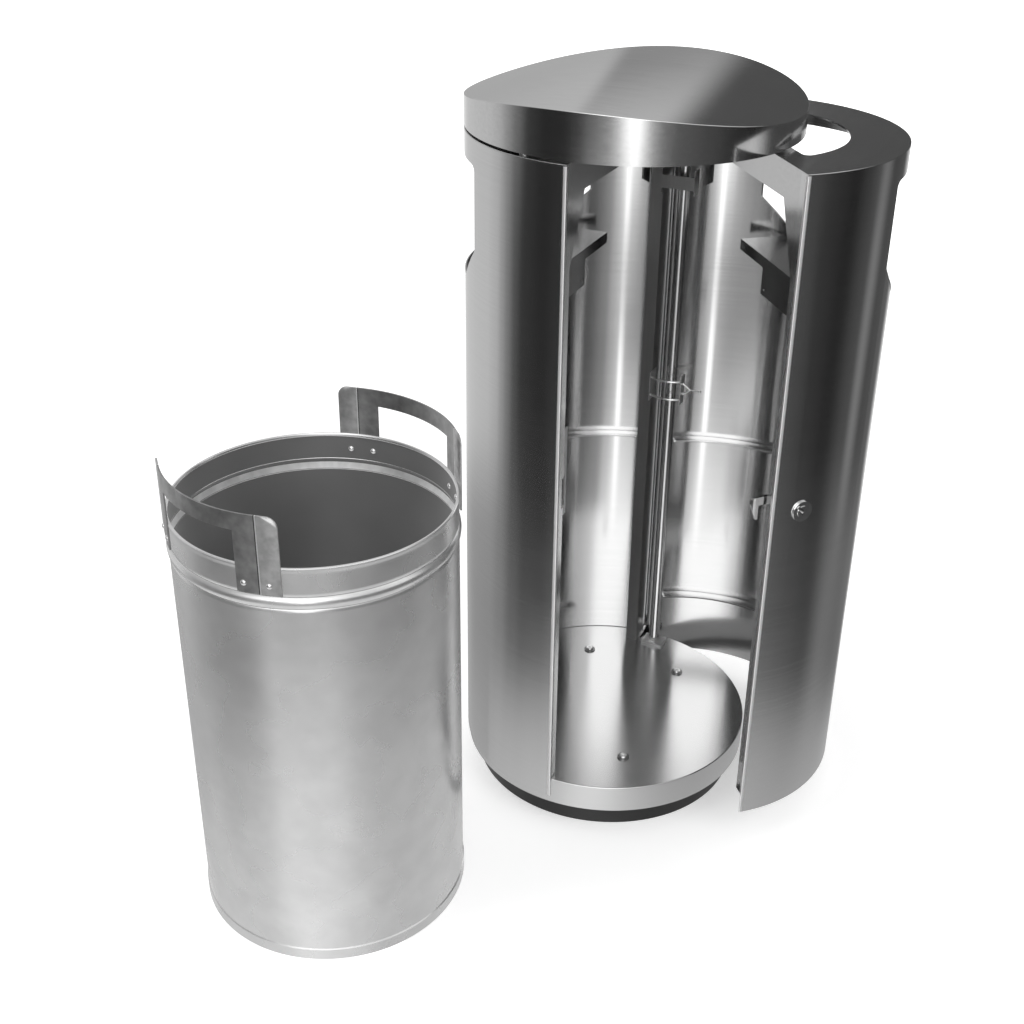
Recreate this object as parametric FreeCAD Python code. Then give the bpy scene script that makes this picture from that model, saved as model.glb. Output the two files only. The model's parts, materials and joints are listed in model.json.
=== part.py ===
import FreeCAD, Part
import math
import os

# Round steel litter bin, millimetres, +Z up, the floor at z = 0.
# The body is a cylinder in two halves: the left half stands fixed on the floor pan and carries
# the arched roof, the right half is the door. The seam is in the plane x = 0, its front at -Y.
# The door swings on an upright tube inside the rear seam and is drawn swung open. The inner
# liner stands beside the bin, in front of its left half.

V = FreeCAD.Vector
UP = V(0, 0, 1)

# Body shell
SHELL_R = 210.0
SKIN_T = 1.5
SKIN_BOTTOM_Z = 46.0
PLATE_TOP_Z = 947.0
PLATE_T = 2.0
SEAM_GAP = 2.0
REAR_GAP_FIXED = 4.8
REAR_GAP_DOOR = 1.5
RETURN_DEPTH = 15.5
RETURN_CLEAR = 2.0
FOLD_R = 1.2
PLATE_EDGE_R = 0.8

# Throw-in slots, one in each half
SLOT_LOW_Z = 765.0
SLOT_RIM = 32.0
SLOT_FRONT_ANGLE = 46.0
SLOT_REAR_ANGLE = 54.4
SLOT_CHAMFER_Y = 34.0
SLOT_CHAMFER_Z = 44.0
SLOT_CORNER_R = 8.0

# Top plates with their D-shaped holes, and the web folded down along the seam
HOLE_RIM = 71.5
HOLE_CHORD_X = 32.0
HOLE_CORNER_R = 8.0
WEB_DEPTH = 39.0
WEB_REAR_INSET = 60.0
GUSSET_RUN = 40.0
GUSSET_DROP = 86.0
TAB_X = 40.0
TAB_INSET = 52.0
TAB_WIDTH = 28.0
TAB_DROP = 120.0
TAB_SLANT = 12.0

# Sills under the slots
SILL_DROP = 6.0
SILL_DEPTH = 126.0
SILL_END_INSET = 6.0
SILL_LIP = 15.0
APRON_HALF_LENGTH = 65.0
APRON_DROP = 52.0
SHEET_T = 1.5
SILL_RIVET_R = 2.5
SILL_RIVET_HEAD = 1.2
SILL_RIVET_INSET = 8.0

# Stiffening bands inside the halves
BAND_T = 3.0
BAND_HEIGHT = 16.0
BAND_UPPER_Z = 424.0
BAND_LOWER_Z = 146.0
BAND_END_ANGLE = 83.0

# Roof
ROOF_GAP = 3.6
ROOF_RISE = 55.9
ROOF_ARCH_R = 877.0
ROOF_EDGE_R = 0.8
ROOF_RING_T = 2.0
ROOF_RING_WIDTH = 30.0
ROOF_SPACER_R = 7.0
ROOF_SPACER_ANGLES = (110.0, 150.0, 210.0, 250.0)
ROOF_SPACER_INSET = 18.0
ROOF_SCREW_R = 3.0
ROOF_SCREW_HEAD_R = 5.5
ROOF_SCREW_HEAD_H = 3.0

# Floor pan and foot
PAN_TOP_Z = 75.0
PAN_BOTTOM_Z = 35.0
PAN_T = 2.0
PAN_CLEAR = 0.5
PAN_EDGE_R = 1.2
FOOT_INSET = 18.0
FOOT_WALL = 12.0
FOOT_SOLE_T = 6.0
FOOT_FLANGE_T = 8.0
FOOT_FLANGE_WIDTH = 58.0
FLOOR_SCREW_INSET = 70.7
FLOOR_SCREW_ANGLES = (57.9, 122.1, 237.9, 302.1)
FLOOR_SCREW_SHANK_R = 3.0
FLOOR_SCREW_HEAD_R = 5.5
FLOOR_SCREW_HEAD_H = 3.2
FLOOR_SCREW_LENGTH = 9.0
FLOOR_SCREW_SOCKET_R = 2.2
FLOOR_SCREW_SOCKET_DEPTH = 1.8
FLOOR_WASHER_R = 8.5
FLOOR_WASHER_T = 1.6

# Hinge: an upright tube on the door, two pivot pins, a wire clip and a strap on the fixed half
HINGE_X = 11.1
HINGE_INSET = 23.8
DOOR_OPEN_DEG = 39.0
TUBE_R = 8.0
PIN_R = 5.0
PIN_CLEAR = 0.08
PIN_REACH = 28.0
END_PLAY = 0.3
HINGE_WEB_T = 2.0
HINGE_WEB_MARGIN = 6.0
RELIEF_X = 16.0
PLATE_RELIEF_CLEAR = 0.9
NOTCH_X = (-14.0, 14.0)
NOTCH_RELIEF_R = 21.3
POST_X = 16.0
POST_T = 1.5
POST_INSET = 34.0
POST_LEG = 16.0
PIVOT_FOOT_LENGTH = 34.0
PIVOT_FOOT_WIDTH = 26.0
PIVOT_FOOT_T = 4.0
PIVOT_NUT_R = 9.0
PIVOT_NUT_H = 7.0
PIVOT_PLATE_DROP = 49.0
PIVOT_PLATE_T = 3.0
PIVOT_PLATE_OVERHANG = 11.0
PIVOT_PLATE_WIDTH = 20.0
PIVOT_HEAD_H = 4.0
CLIP_PLATE_T = 1.0
CLIP_LEFT_FRONT = 20.0
CLIP_LEFT_LENGTH = 26.0
CLIP_RIGHT_X = 30.0
CLIP_RIGHT_T = 1.5
CLIP_RIGHT_FRONT = 16.0
CLIP_RIGHT_LENGTH = 16.0
CLIP_LOW_Z = 506.0
CLIP_HEIGHT = 44.0
CLIP_WIRE_R = 1.5
CLIP_WIRE_INSET = 8.0
CLIP_WIRE_END = 14.0
CLIP_WIRE_BOW = 8.0
TAIL_WIRE_R = 1.2
TAIL_FRONT = 6.0
TAIL_SPREAD = 9.0
TAIL_JOIN_X = 43.0
TAIL_END_X = 57.0
TAIL_BALL_R = 2.2
STRAP_DROP = 129.0
STRAP_HEIGHT = 34.0
STRAP_BAR_HEIGHT = 18.0
STRAP_BOLT_R = 3.5
STRAP_BOLT_HEAD = 2.5

# Lock and latch on the door
LOCK_X = 44.0
LOCK_Z = 519.0
LOCK_SLEEVE_R = 12.5
LOCK_FLANGE_R = 14.0
LOCK_FLANGE_T = 2.5
LOCK_DEPTH = 21.0
LOCK_NUT_R = 17.0
LOCK_NUT_T = 4.0
PLUG_R = 8.0
PLUG_CLEAR = 0.06
PLUG_PROUD = 0.8
PLUG_TAIL = 3.0
KEYWAY_LENGTH = 9.0
KEYWAY_WIDTH = 1.8
KEYWAY_DEPTH = 5.0
HOOK_T = 3.0
HOOK_BOSS_R = 10.0
HOOK_ARM_LOW = 7.0
HOOK_ARM_HIGH = 18.5
HOOK_THROAT_U = 49.0
HOOK_REACH_U = 61.0
HOOK_NOSE_V = 11.0
HOOK_TIP_U = 52.0
HOOK_TIP_V = -12.5
HOOK_CROWN_R = 6.0
LATCH_SCREW_R = 4.5
LATCH_SCREW_H = 2.5

# Keeper plate on the fixed half's front return
KEEPER_T = 1.5
KEEPER_DEPTH = 28.0
KEEPER_BELOW_LOCK = 29.0
KEEPER_ABOVE_LOCK = 93.0
KEEPER_SLOT_INSET = 12.0
KEEPER_SLOT_WIDTH = 13.0
KEEPER_SLOT_BELOW_LOCK = 15.0
KEEPER_SLOT_HEIGHT = 42.0
KEEPER_RIVET_BELOW_LOCK = 8.0
KEEPER_RIVET_ABOVE_LOCK = 80.0
KEEPER_RIVET_R = 3.0
KEEPER_RIVET_HEAD = 1.2
KEEPER_RIVET_INSET = 10.0

# Liner standing beside the bin
LINER_X = -229.4
LINER_Y = -416.0
LINER_CLEAR = 37.0
LINER_T = 1.0
LINER_HEIGHT = 576.0
LINER_BEAD_DROP = 44.5
LINER_BEAD_HALF_HEIGHT = 4.5
LINER_BEAD_PROUD = 2.6
LINER_RIM_R = 1.6
LINER_SEAM_PROUD = 1.6
LINER_SEAM_H = 15.0
LINER_BASE_Z = 6.0
LINER_TURN = -108.2
HANDLE_T = 2.0
HANDLE_RISE = 64.0
HANDLE_STRIP = 22.0
HANDLE_REACH = 34.0
HANDLE_WINDOW_ANGLE = 21.2
HANDLE_FOLD_ANGLE = 29.2
HANDLE_FLAP = 29.0
HANDLE_FLAP_CORNER_R = 12.0
HANDLE_RIVET_ANGLES = (24.0, 34.0)
HANDLE_RIVET_INSET = 12.0
RIVET_R = 3.0
RIVET_HEAD = 2.0

# Sizes that follow from the ones above
SKIN_INNER_R = SHELL_R - SKIN_T
SLOT_HIGH_Z = PLATE_TOP_Z - SLOT_RIM
SLOT_FRONT_Y = -SHELL_R * math.sin(math.radians(SLOT_FRONT_ANGLE))
SLOT_REAR_Y = SHELL_R * math.sin(math.radians(SLOT_REAR_ANGLE))
HOLE_R = SHELL_R - HOLE_RIM
WEB_REAR_Y = SHELL_R - WEB_REAR_INSET
TAB_FRONT_Y = SHELL_R - TAB_INSET
SILL_TOP_Z = SLOT_LOW_Z - SILL_DROP
SILL_CHORD_X = SHELL_R - SILL_DEPTH
SILL_HALF_LENGTH = -SLOT_FRONT_Y - SILL_END_INSET
APRON_FOOT_Z = SILL_TOP_Z - APRON_DROP
ROOF_BOTTOM_Z = PLATE_TOP_Z + ROOF_GAP
ROOF_RIDGE_Z = ROOF_BOTTOM_Z + ROOF_RISE
ROOF_SPACER_PITCH_R = SHELL_R - ROOF_SPACER_INSET
FOOT_R = SHELL_R - FOOT_INSET
FOOT_FLANGE_INNER_R = FOOT_R - FOOT_WALL - FOOT_FLANGE_WIDTH
FLOOR_SCREW_PITCH_R = SHELL_R - FLOOR_SCREW_INSET
HINGE_Y = SHELL_R - HINGE_INSET
POST_INNER_Y = SHELL_R - POST_INSET
PIVOT_PLATE_Z = PLATE_TOP_Z - PIVOT_PLATE_DROP
CLIP_LEFT_Y = (HINGE_Y - CLIP_LEFT_FRONT, HINGE_Y - CLIP_LEFT_FRONT + CLIP_LEFT_LENGTH)
CLIP_RIGHT_Y = (HINGE_Y - CLIP_RIGHT_FRONT, HINGE_Y - CLIP_RIGHT_FRONT + CLIP_RIGHT_LENGTH)
CLIP_Z = (CLIP_LOW_Z, CLIP_LOW_Z + CLIP_HEIGHT)
CLIP_WIRE_END_Y = HINGE_Y - CLIP_WIRE_END
CLIP_WIRE_FRONT_Y = CLIP_WIRE_END_Y - CLIP_WIRE_BOW
TAIL_Y = HINGE_Y - TAIL_FRONT
STRAP_LOW_Z = PLATE_TOP_Z - STRAP_DROP
STRAP_Z = (STRAP_LOW_Z, STRAP_LOW_Z + STRAP_HEIGHT)
STRAP_BAR_LOW_Z = STRAP_LOW_Z + (STRAP_HEIGHT - STRAP_BAR_HEIGHT) / 2
STRAP_BAR_Z = (STRAP_BAR_LOW_Z, STRAP_BAR_LOW_Z + STRAP_BAR_HEIGHT)
LOCK_ANGLE = math.degrees(math.asin(LOCK_X / SHELL_R)) - 90
LOCK_INNER_R = SHELL_R - LOCK_DEPTH
KEEPER_Z = (LOCK_Z - KEEPER_BELOW_LOCK, LOCK_Z + KEEPER_ABOVE_LOCK)
KEEPER_SLOT_FRONT_Y = KEEPER_SLOT_INSET - SHELL_R
KEEPER_SLOT_Y = (KEEPER_SLOT_FRONT_Y, KEEPER_SLOT_FRONT_Y + KEEPER_SLOT_WIDTH)
KEEPER_SLOT_LOW_Z = LOCK_Z - KEEPER_SLOT_BELOW_LOCK
KEEPER_SLOT_Z = (KEEPER_SLOT_LOW_Z, KEEPER_SLOT_LOW_Z + KEEPER_SLOT_HEIGHT)
KEEPER_RIVET_Z = (LOCK_Z - KEEPER_RIVET_BELOW_LOCK, LOCK_Z + KEEPER_RIVET_ABOVE_LOCK)
PLATE_BOTTOM_Z = PLATE_TOP_Z - PLATE_T
HALF_GAP = SEAM_GAP / 2
RETURN_INNER_Y = -(SKIN_INNER_R - RETURN_DEPTH)
RETURN_FOOT_Z = PAN_TOP_Z + RETURN_CLEAR
WEB_FOOT_Z = PLATE_BOTTOM_Z - WEB_DEPTH
PAN_R = SKIN_INNER_R - PAN_CLEAR
FOOT_TOP_Z = PAN_TOP_Z - PAN_T
NUT_TOP_Z = PAN_TOP_Z + PIVOT_FOOT_T + PIVOT_NUT_H
TUBE_LOW_Z = NUT_TOP_Z + END_PLAY
TUBE_HIGH_Z = PIVOT_PLATE_Z - END_PLAY
HINGE_WEB_Z = (TUBE_LOW_Z + HINGE_WEB_MARGIN, TUBE_HIGH_Z - HINGE_WEB_MARGIN)
ROOF_RING_Z = ROOF_BOTTOM_Z + 0.4
LINER_OUTER_R = SHELL_R - LINER_CLEAR
LINER_BEAD_Z = LINER_HEIGHT - LINER_BEAD_DROP
LINER_BEAD_R = (LINER_BEAD_HALF_HEIGHT ** 2 + LINER_BEAD_PROUD ** 2) / (2 * LINER_BEAD_PROUD)
LINER_SEAM_R = LINER_OUTER_R + LINER_SEAM_PROUD
HANDLE_TOP_Z = LINER_HEIGHT + HANDLE_RISE
HANDLE_FOOT_Z = LINER_HEIGHT - HANDLE_REACH
HANDLE_RIVET_Z = HANDLE_FOOT_Z + HANDLE_RIVET_INSET


def box(x0, x1, y0, y1, z0, z1):
    """Upright block between pairs of limits."""
    return Part.makeBox(x1 - x0, y1 - y0, z1 - z0, V(x0, y0, z0))


def cylinder(radius, z0, z1, x=0.0, y=0.0):
    """Upright cylinder."""
    return Part.makeCylinder(radius, z1 - z0, V(x, y, z0), UP)


def ring(outer, inner, z0, z1, x=0.0, y=0.0):
    """Upright ring."""
    return cylinder(outer, z0, z1, x, y).cut(cylinder(inner, z0 - 1, z1 + 1, x, y))


def polar(radius, degrees, z=0.0):
    """Point at a radius and an angle from +X."""
    angle = math.radians(degrees)
    return V(radius * math.cos(angle), radius * math.sin(angle), z)


def ring_sector(outer, inner, z0, z1, a0, a1):
    """Part of an upright ring between two angles, counted anticlockwise."""
    middle = (a0 + a1) / 2
    edges = [
        Part.Arc(polar(outer, a0, z0), polar(outer, middle, z0), polar(outer, a1, z0)).toShape(),
        Part.makeLine(polar(outer, a1, z0), polar(inner, a1, z0)),
        Part.Arc(polar(inner, a1, z0), polar(inner, middle, z0), polar(inner, a0, z0)).toShape(),
        Part.makeLine(polar(inner, a0, z0), polar(outer, a0, z0)),
    ]
    return Part.Face(Part.Wire(edges)).extrude(V(0, 0, z1 - z0))


def prism(points, direction):
    """Flat outline through the points, extruded along a vector."""
    return Part.Face(Part.makePolygon(points + [points[0]])).extrude(direction)


def revolve(profile):
    """Outline of (radius, z) points turned round the Z axis."""
    points = [V(r, 0, z) for r, z in profile]
    return Part.Face(Part.makePolygon(points + [points[0]])).revolve(V(0, 0, 0), UP, 360)


def rod(start, end, radius):
    """Round bar from one point to another."""
    along = end - start
    return Part.makeCylinder(radius, along.Length, start, along)


def fuse(shapes):
    """One solid of several."""
    result = shapes[0].multiFuse(shapes[1:]) if len(shapes) > 1 else shapes[0]
    return result.removeSplitter()


def rim_edges(shape, z):
    """Edges that lie at one height."""
    return [e for e in shape.Edges if abs(e.BoundBox.ZMin - z) < 0.01 and abs(e.BoundBox.ZMax - z) < 0.01]


def mirrored(shape):
    """The same piece on the other side of the seam plane."""
    return shape.mirror(V(0, 0, 0), V(1, 0, 0))


def opened(shape):
    """A door piece, drawn closed, swung to the angle at which the door stands."""
    turned = shape.copy()
    turned.rotate(V(HINGE_X, HINGE_Y, 0), UP, DOOR_OPEN_DEG)
    return turned


# Halves of the body, drawn as the right-hand one

def slot_cutter():
    """Throw-in opening of the right half: chamfered low corners, rounded high ones."""
    y0 = SLOT_FRONT_Y
    y1 = SLOT_REAR_Y
    x0 = HOLE_CHORD_X * 2
    outline = [
        V(x0, y0 + SLOT_CHAMFER_Y, SLOT_LOW_Z),
        V(x0, y1 - SLOT_CHAMFER_Y, SLOT_LOW_Z),
        V(x0, y1, SLOT_LOW_Z + SLOT_CHAMFER_Z),
        V(x0, y1, SLOT_HIGH_Z),
        V(x0, y0, SLOT_HIGH_Z),
        V(x0, y0, SLOT_LOW_Z + SLOT_CHAMFER_Z),
    ]
    body = prism(outline, V(SHELL_R, 0, 0))
    along_x = [e for e in body.Edges if abs(e.tangentAt(e.FirstParameter).x) > 0.99]
    return body.makeFillet(SLOT_CORNER_R, along_x)


def half_skin(rear_gap):
    """Half of the cylinder wall with its slot, up to the seam gaps front and rear."""
    front = -90.0 + math.degrees(HALF_GAP / SHELL_R)
    rear = 90.0 - math.degrees(rear_gap / SHELL_R)
    wall = ring_sector(SHELL_R, SKIN_INNER_R, SKIN_BOTTOM_Z, PLATE_BOTTOM_Z, front, rear)
    nose = SHELL_R * math.cos(math.radians(front + 90.0))
    fold = [e for e in wall.Edges if abs(e.CenterOfMass.y + nose) < 0.01 and e.tangentAt(0).z != 0]
    return wall.makeFillet(FOLD_R, fold).cut(slot_cutter())


def front_return():
    """Flange folded inwards at the front edge of a half."""
    outer_y = FOLD_R - SHELL_R
    return box(HALF_GAP, HALF_GAP + SKIN_T, outer_y, RETURN_INNER_Y, RETURN_FOOT_Z, PLATE_BOTTOM_Z)


def half_top_plate():
    """Half disc with a D-shaped hole, and the web and gusset folded down along the seam."""
    disc = cylinder(SHELL_R, PLATE_BOTTOM_Z, PLATE_TOP_Z)
    disc = disc.makeFillet(PLATE_EDGE_R, rim_edges(disc, PLATE_TOP_Z))
    side = box(HALF_GAP, SHELL_R, -SHELL_R, SHELL_R, PLATE_BOTTOM_Z, PLATE_TOP_Z)
    hole = cylinder(HOLE_R, PLATE_BOTTOM_Z, PLATE_TOP_Z)
    hole = hole.common(box(HOLE_CHORD_X, SHELL_R, -SHELL_R, SHELL_R, PLATE_BOTTOM_Z, PLATE_TOP_Z))
    upright = [e for e in hole.Edges if abs(e.tangentAt(e.FirstParameter).z) > 0.99]
    plate = disc.common(side).cut(hole.makeFillet(HOLE_CORNER_R, upright))
    outline = [
        V(HALF_GAP, RETURN_INNER_Y, PLATE_BOTTOM_Z),
        V(HALF_GAP, WEB_REAR_Y, PLATE_BOTTOM_Z),
        V(HALF_GAP, WEB_REAR_Y, WEB_FOOT_Z),
        V(HALF_GAP, RETURN_INNER_Y + GUSSET_RUN, WEB_FOOT_Z),
        V(HALF_GAP, RETURN_INNER_Y, WEB_FOOT_Z - GUSSET_DROP),
    ]
    return fuse([plate, prism(outline, V(SKIN_T, 0, 0)), plate_tab()])


def plate_tab():
    """Tab folded down from the plate near the rear, its foot cut on a slant."""
    y1 = TAB_FRONT_Y + TAB_WIDTH
    foot_z = PLATE_BOTTOM_Z - TAB_DROP
    outline = [
        V(TAB_X, TAB_FRONT_Y, PLATE_BOTTOM_Z),
        V(TAB_X, y1, PLATE_BOTTOM_Z),
        V(TAB_X, y1, foot_z),
        V(TAB_X, TAB_FRONT_Y, foot_z + TAB_SLANT),
    ]
    return prism(outline, V(SHEET_T, 0, 0))


def sill():
    """Shelf under the slot: a chord-edged plate with a folded lip and a deeper apron."""
    z0 = SILL_TOP_Z - SHEET_T
    y = SILL_HALF_LENGTH
    x0 = SILL_CHORD_X
    shelf = box(x0, SHELL_R, -y, y, z0, SILL_TOP_Z).common(cylinder(SKIN_INNER_R, z0, SILL_TOP_Z))
    lip = box(x0, x0 + SHEET_T, -y, y, SILL_TOP_Z - SILL_LIP, z0)
    apron = box(x0, x0 + SHEET_T, -APRON_HALF_LENGTH, APRON_HALF_LENGTH, APRON_FOOT_Z, z0)
    return fuse([shelf, lip, apron])


def sill_rivets():
    """Rivets at the low corners of the apron."""
    y = APRON_HALF_LENGTH - SILL_RIVET_INSET
    z = APRON_FOOT_Z + SILL_RIVET_INSET
    x = SILL_CHORD_X
    heads = []
    for side in (-1, 1):
        heads.append(rod(V(x, side * y, z), V(x - SILL_RIVET_HEAD, side * y, z), SILL_RIVET_R))
    return heads


def band(low_z):
    """Stiffening band on the inside of a half."""
    inner = SKIN_INNER_R - BAND_T
    return ring_sector(SKIN_INNER_R, inner, low_z, low_z + BAND_HEIGHT, -BAND_END_ANGLE, BAND_END_ANGLE)


# Fixed half

def left_panel():
    return mirrored(fuse([half_skin(REAR_GAP_FIXED), front_return()])).cut(keeper_slot())


def keeper_slot():
    """Window that the latch hook enters."""
    y0, y1 = KEEPER_SLOT_Y
    z0, z1 = KEEPER_SLOT_Z
    depth = HALF_GAP + SKIN_T + KEEPER_T
    return box(-depth - 1, 1, y0, y1, z0, z1)


def keeper():
    """Plate riveted behind the front return, with the window for the hook."""
    x1 = -HALF_GAP - SKIN_T
    y0 = -math.sqrt(SKIN_INNER_R ** 2 - (x1 - KEEPER_T) ** 2)
    return box(x1 - KEEPER_T, x1, y0, y0 + KEEPER_DEPTH, *KEEPER_Z).cut(keeper_slot())


def keeper_rivets():
    x = -HALF_GAP - SKIN_T - KEEPER_T
    y = RETURN_INNER_Y - KEEPER_RIVET_INSET
    heads = []
    for z in KEEPER_RIVET_Z:
        heads.append(rod(V(x, y, z), V(x - KEEPER_RIVET_HEAD, y, z), KEEPER_RIVET_R))
    return heads


def left_post():
    """Angle section up the rear of the fixed half, which carries the hinge."""
    outer_y = math.sqrt(SKIN_INNER_R ** 2 - (POST_X + POST_T) ** 2)
    x0 = -POST_X - POST_T
    leg = box(x0, -POST_X, POST_INNER_Y, outer_y, PAN_TOP_Z, PLATE_BOTTOM_Z)
    flange = box(x0 - POST_LEG, x0, POST_INNER_Y, POST_INNER_Y + POST_T, PAN_TOP_Z, PLATE_BOTTOM_Z)
    return fuse([leg, flange])


def clip_plates(z0, z1):
    """Two upright plates either side of the hinge tube."""
    left = box(-POST_X, -POST_X + CLIP_PLATE_T, *CLIP_LEFT_Y, z0, z1)
    right = box(CLIP_RIGHT_X, CLIP_RIGHT_X + CLIP_RIGHT_T, *CLIP_RIGHT_Y, z0, z1)
    return left, right


def hinge_clip():
    """Plates joined by two bowed wires, with a forked wire tail."""
    z0, z1 = CLIP_Z
    left, right = clip_plates(z0, z1)
    pieces = [left, right]
    start_x = -POST_X + CLIP_PLATE_T / 2
    end_x = CLIP_RIGHT_X + CLIP_RIGHT_T / 2
    middle_x = (start_x + end_x) / 2
    for z in (z0 + CLIP_WIRE_INSET, z1 - CLIP_WIRE_INSET):
        start = V(start_x, CLIP_WIRE_END_Y, z)
        arc = Part.Arc(start, V(middle_x, CLIP_WIRE_FRONT_Y, z), V(end_x, CLIP_WIRE_END_Y, z))
        path = Part.Wire(arc.toShape())
        direction = arc.tangent(arc.FirstParameter)[0]
        section = Part.Wire(Part.makeCircle(CLIP_WIRE_R, start, direction))
        pieces.append(path.makePipeShell([section], True, False))
    join = V(TAIL_JOIN_X, TAIL_Y, (z0 + z1) / 2)
    for side in (-1, 1):
        pieces.append(rod(V(end_x, TAIL_Y, join.z + side * TAIL_SPREAD), join, TAIL_WIRE_R))
    end = V(TAIL_END_X, TAIL_Y, join.z)
    pieces.append(rod(join, end, TAIL_WIRE_R))
    pieces.append(Part.makeSphere(TAIL_WIRE_R, join))
    pieces.append(Part.makeSphere(TAIL_BALL_R, end))
    return fuse(pieces)


def hinge_strap():
    """Folded strap that passes in front of the tube near its top."""
    left, right = clip_plates(*STRAP_Z)
    front_y = CLIP_LEFT_Y[0]
    x1 = CLIP_RIGHT_X + CLIP_RIGHT_T
    bar = box(-POST_X, x1, front_y, front_y + SHEET_T, *STRAP_BAR_Z)
    tie = box(CLIP_RIGHT_X, x1, front_y, CLIP_RIGHT_Y[0], *STRAP_BAR_Z)
    return fuse([left, right, bar, tie])


def strap_bolts():
    """Bolt heads on the two strap plates."""
    z = sum(STRAP_Z) / 2
    y = sum(CLIP_RIGHT_Y) / 2
    left = -POST_X + CLIP_PLATE_T
    right = CLIP_RIGHT_X
    heads = [rod(V(right, y, z), V(right - STRAP_BOLT_HEAD, y, z), STRAP_BOLT_R)]
    low_y = CLIP_LEFT_Y[0] + STRAP_BOLT_R + SHEET_T
    heads.append(rod(V(left, low_y, z), V(left + STRAP_BOLT_HEAD, low_y, z), STRAP_BOLT_R))
    return heads


def pivot_foot():
    """Foot plate on the floor pan under the hinge tube."""
    half_l = PIVOT_FOOT_LENGTH / 2
    half_w = PIVOT_FOOT_WIDTH / 2
    plate = box(HINGE_X - half_l, HINGE_X + half_l, HINGE_Y - half_w, HINGE_Y + half_w,
                PAN_TOP_Z, PAN_TOP_Z + PIVOT_FOOT_T)
    return plate.cut(cylinder(PIN_R, 0, SHELL_R, HINGE_X, HINGE_Y))


def hexagon(radius, z0, z1, x, y):
    """Upright hexagon bar."""
    corners = [V(x, y, z0) + polar(radius, 60 * k) for k in range(6)]
    return prism(corners, V(0, 0, z1 - z0))


def pivot_pin_lower():
    """Stud with a hexagon nut, rising into the foot of the tube."""
    z0 = PAN_TOP_Z
    nut_z = z0 + PIVOT_FOOT_T
    stud = cylinder(PIN_R, z0, NUT_TOP_Z + PIN_REACH, HINGE_X, HINGE_Y)
    return fuse([stud, hexagon(PIVOT_NUT_R, nut_z, NUT_TOP_Z, HINGE_X, HINGE_Y)])


def pivot_plate_upper():
    """Plate from the post to above the tube."""
    half_w = PIVOT_PLATE_WIDTH / 2
    plate = box(-POST_X, HINGE_X + PIVOT_PLATE_OVERHANG, HINGE_Y - half_w, HINGE_Y + half_w,
                PIVOT_PLATE_Z, PIVOT_PLATE_Z + PIVOT_PLATE_T)
    return plate.cut(cylinder(PIN_R, 0, PLATE_TOP_Z, HINGE_X, HINGE_Y))


def pivot_pin_upper():
    """Headed pin hanging into the top of the tube."""
    top = PIVOT_PLATE_Z + PIVOT_PLATE_T
    shank = cylinder(PIN_R, PIVOT_PLATE_Z - PIN_REACH, top, HINGE_X, HINGE_Y)
    return fuse([shank, hexagon(PIVOT_NUT_R, top, top + PIVOT_HEAD_H, HINGE_X, HINGE_Y)])


# Roof

def arch(radius):
    """Long drum lying front to back, whose upper side gives the roof its arch."""
    axis_z = ROOF_RIDGE_Z - ROOF_ARCH_R
    return Part.makeCylinder(radius, 4 * SHELL_R, V(0, -2 * SHELL_R, axis_z), V(0, 1, 0))


def roof():
    """Arched sheet with its skirt."""
    top = ROOF_RIDGE_Z + 1
    outer = cylinder(SHELL_R, ROOF_BOTTOM_Z, top).common(arch(ROOF_ARCH_R)).removeSplitter()
    eaves = [e for e in outer.Edges if e.BoundBox.ZMin > ROOF_BOTTOM_Z + 1 and e.BoundBox.XLength > SHELL_R / 2]
    outer = outer.makeFillet(ROOF_EDGE_R, eaves)
    inner = cylinder(SKIN_INNER_R, ROOF_BOTTOM_Z - 1, top).common(arch(ROOF_ARCH_R - SKIN_T))
    return outer.cut(inner)


def roof_ring():
    """Flat ring inside the skirt, which the spacers carry."""
    body = ring(SKIN_INNER_R, SKIN_INNER_R - ROOF_RING_WIDTH, ROOF_RING_Z, ROOF_RING_Z + ROOF_RING_T)
    return body.cut(fuse_all(roof_screw_holes()))


def roof_spots():
    return [polar(ROOF_SPACER_PITCH_R, a) for a in ROOF_SPACER_ANGLES]


def roof_screw_holes():
    return [cylinder(ROOF_SCREW_R, PLATE_BOTTOM_Z - 1, ROOF_RING_Z + 9, p.x, p.y) for p in roof_spots()]


def fuse_all(shapes):
    return Part.makeCompound(shapes)


def roof_spacers():
    return [ring(ROOF_SPACER_R, ROOF_SCREW_R, PLATE_TOP_Z, ROOF_RING_Z, p.x, p.y) for p in roof_spots()]


def roof_screws():
    """Screws up through the fixed half's plate, with their nuts above the ring."""
    z1 = ROOF_RING_Z + ROOF_RING_T
    screws = []
    for p in roof_spots():
        shank = cylinder(ROOF_SCREW_R, PLATE_BOTTOM_Z, z1, p.x, p.y)
        head = cylinder(ROOF_SCREW_HEAD_R, PLATE_BOTTOM_Z - ROOF_SCREW_HEAD_H, PLATE_BOTTOM_Z, p.x, p.y)
        nut = hexagon(ROOF_SCREW_HEAD_R, z1, z1 + ROOF_SCREW_HEAD_H, p.x, p.y)
        screws.append(fuse([shank, head, nut]))
    return screws


def left_top_plate():
    """Plate of the fixed half, its rear corner cut away for the door's plate."""
    corner = box(NOTCH_X[0], 0, HINGE_Y, SHELL_R, PLATE_BOTTOM_Z - 1, PLATE_TOP_Z + 1)
    return mirrored(half_top_plate()).cut(corner).cut(fuse_all(roof_screw_holes()))


# Floor

def floor_spots():
    spots = [polar(FLOOR_SCREW_PITCH_R, a) for a in FLOOR_SCREW_ANGLES]
    return [(p.x, p.y) for p in spots]


def floor_screw_holes():
    z0 = PAN_TOP_Z - FLOOR_SCREW_LENGTH
    return [cylinder(FLOOR_SCREW_SHANK_R, z0, PAN_TOP_Z + 1, x, y) for x, y in floor_spots()]


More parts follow.
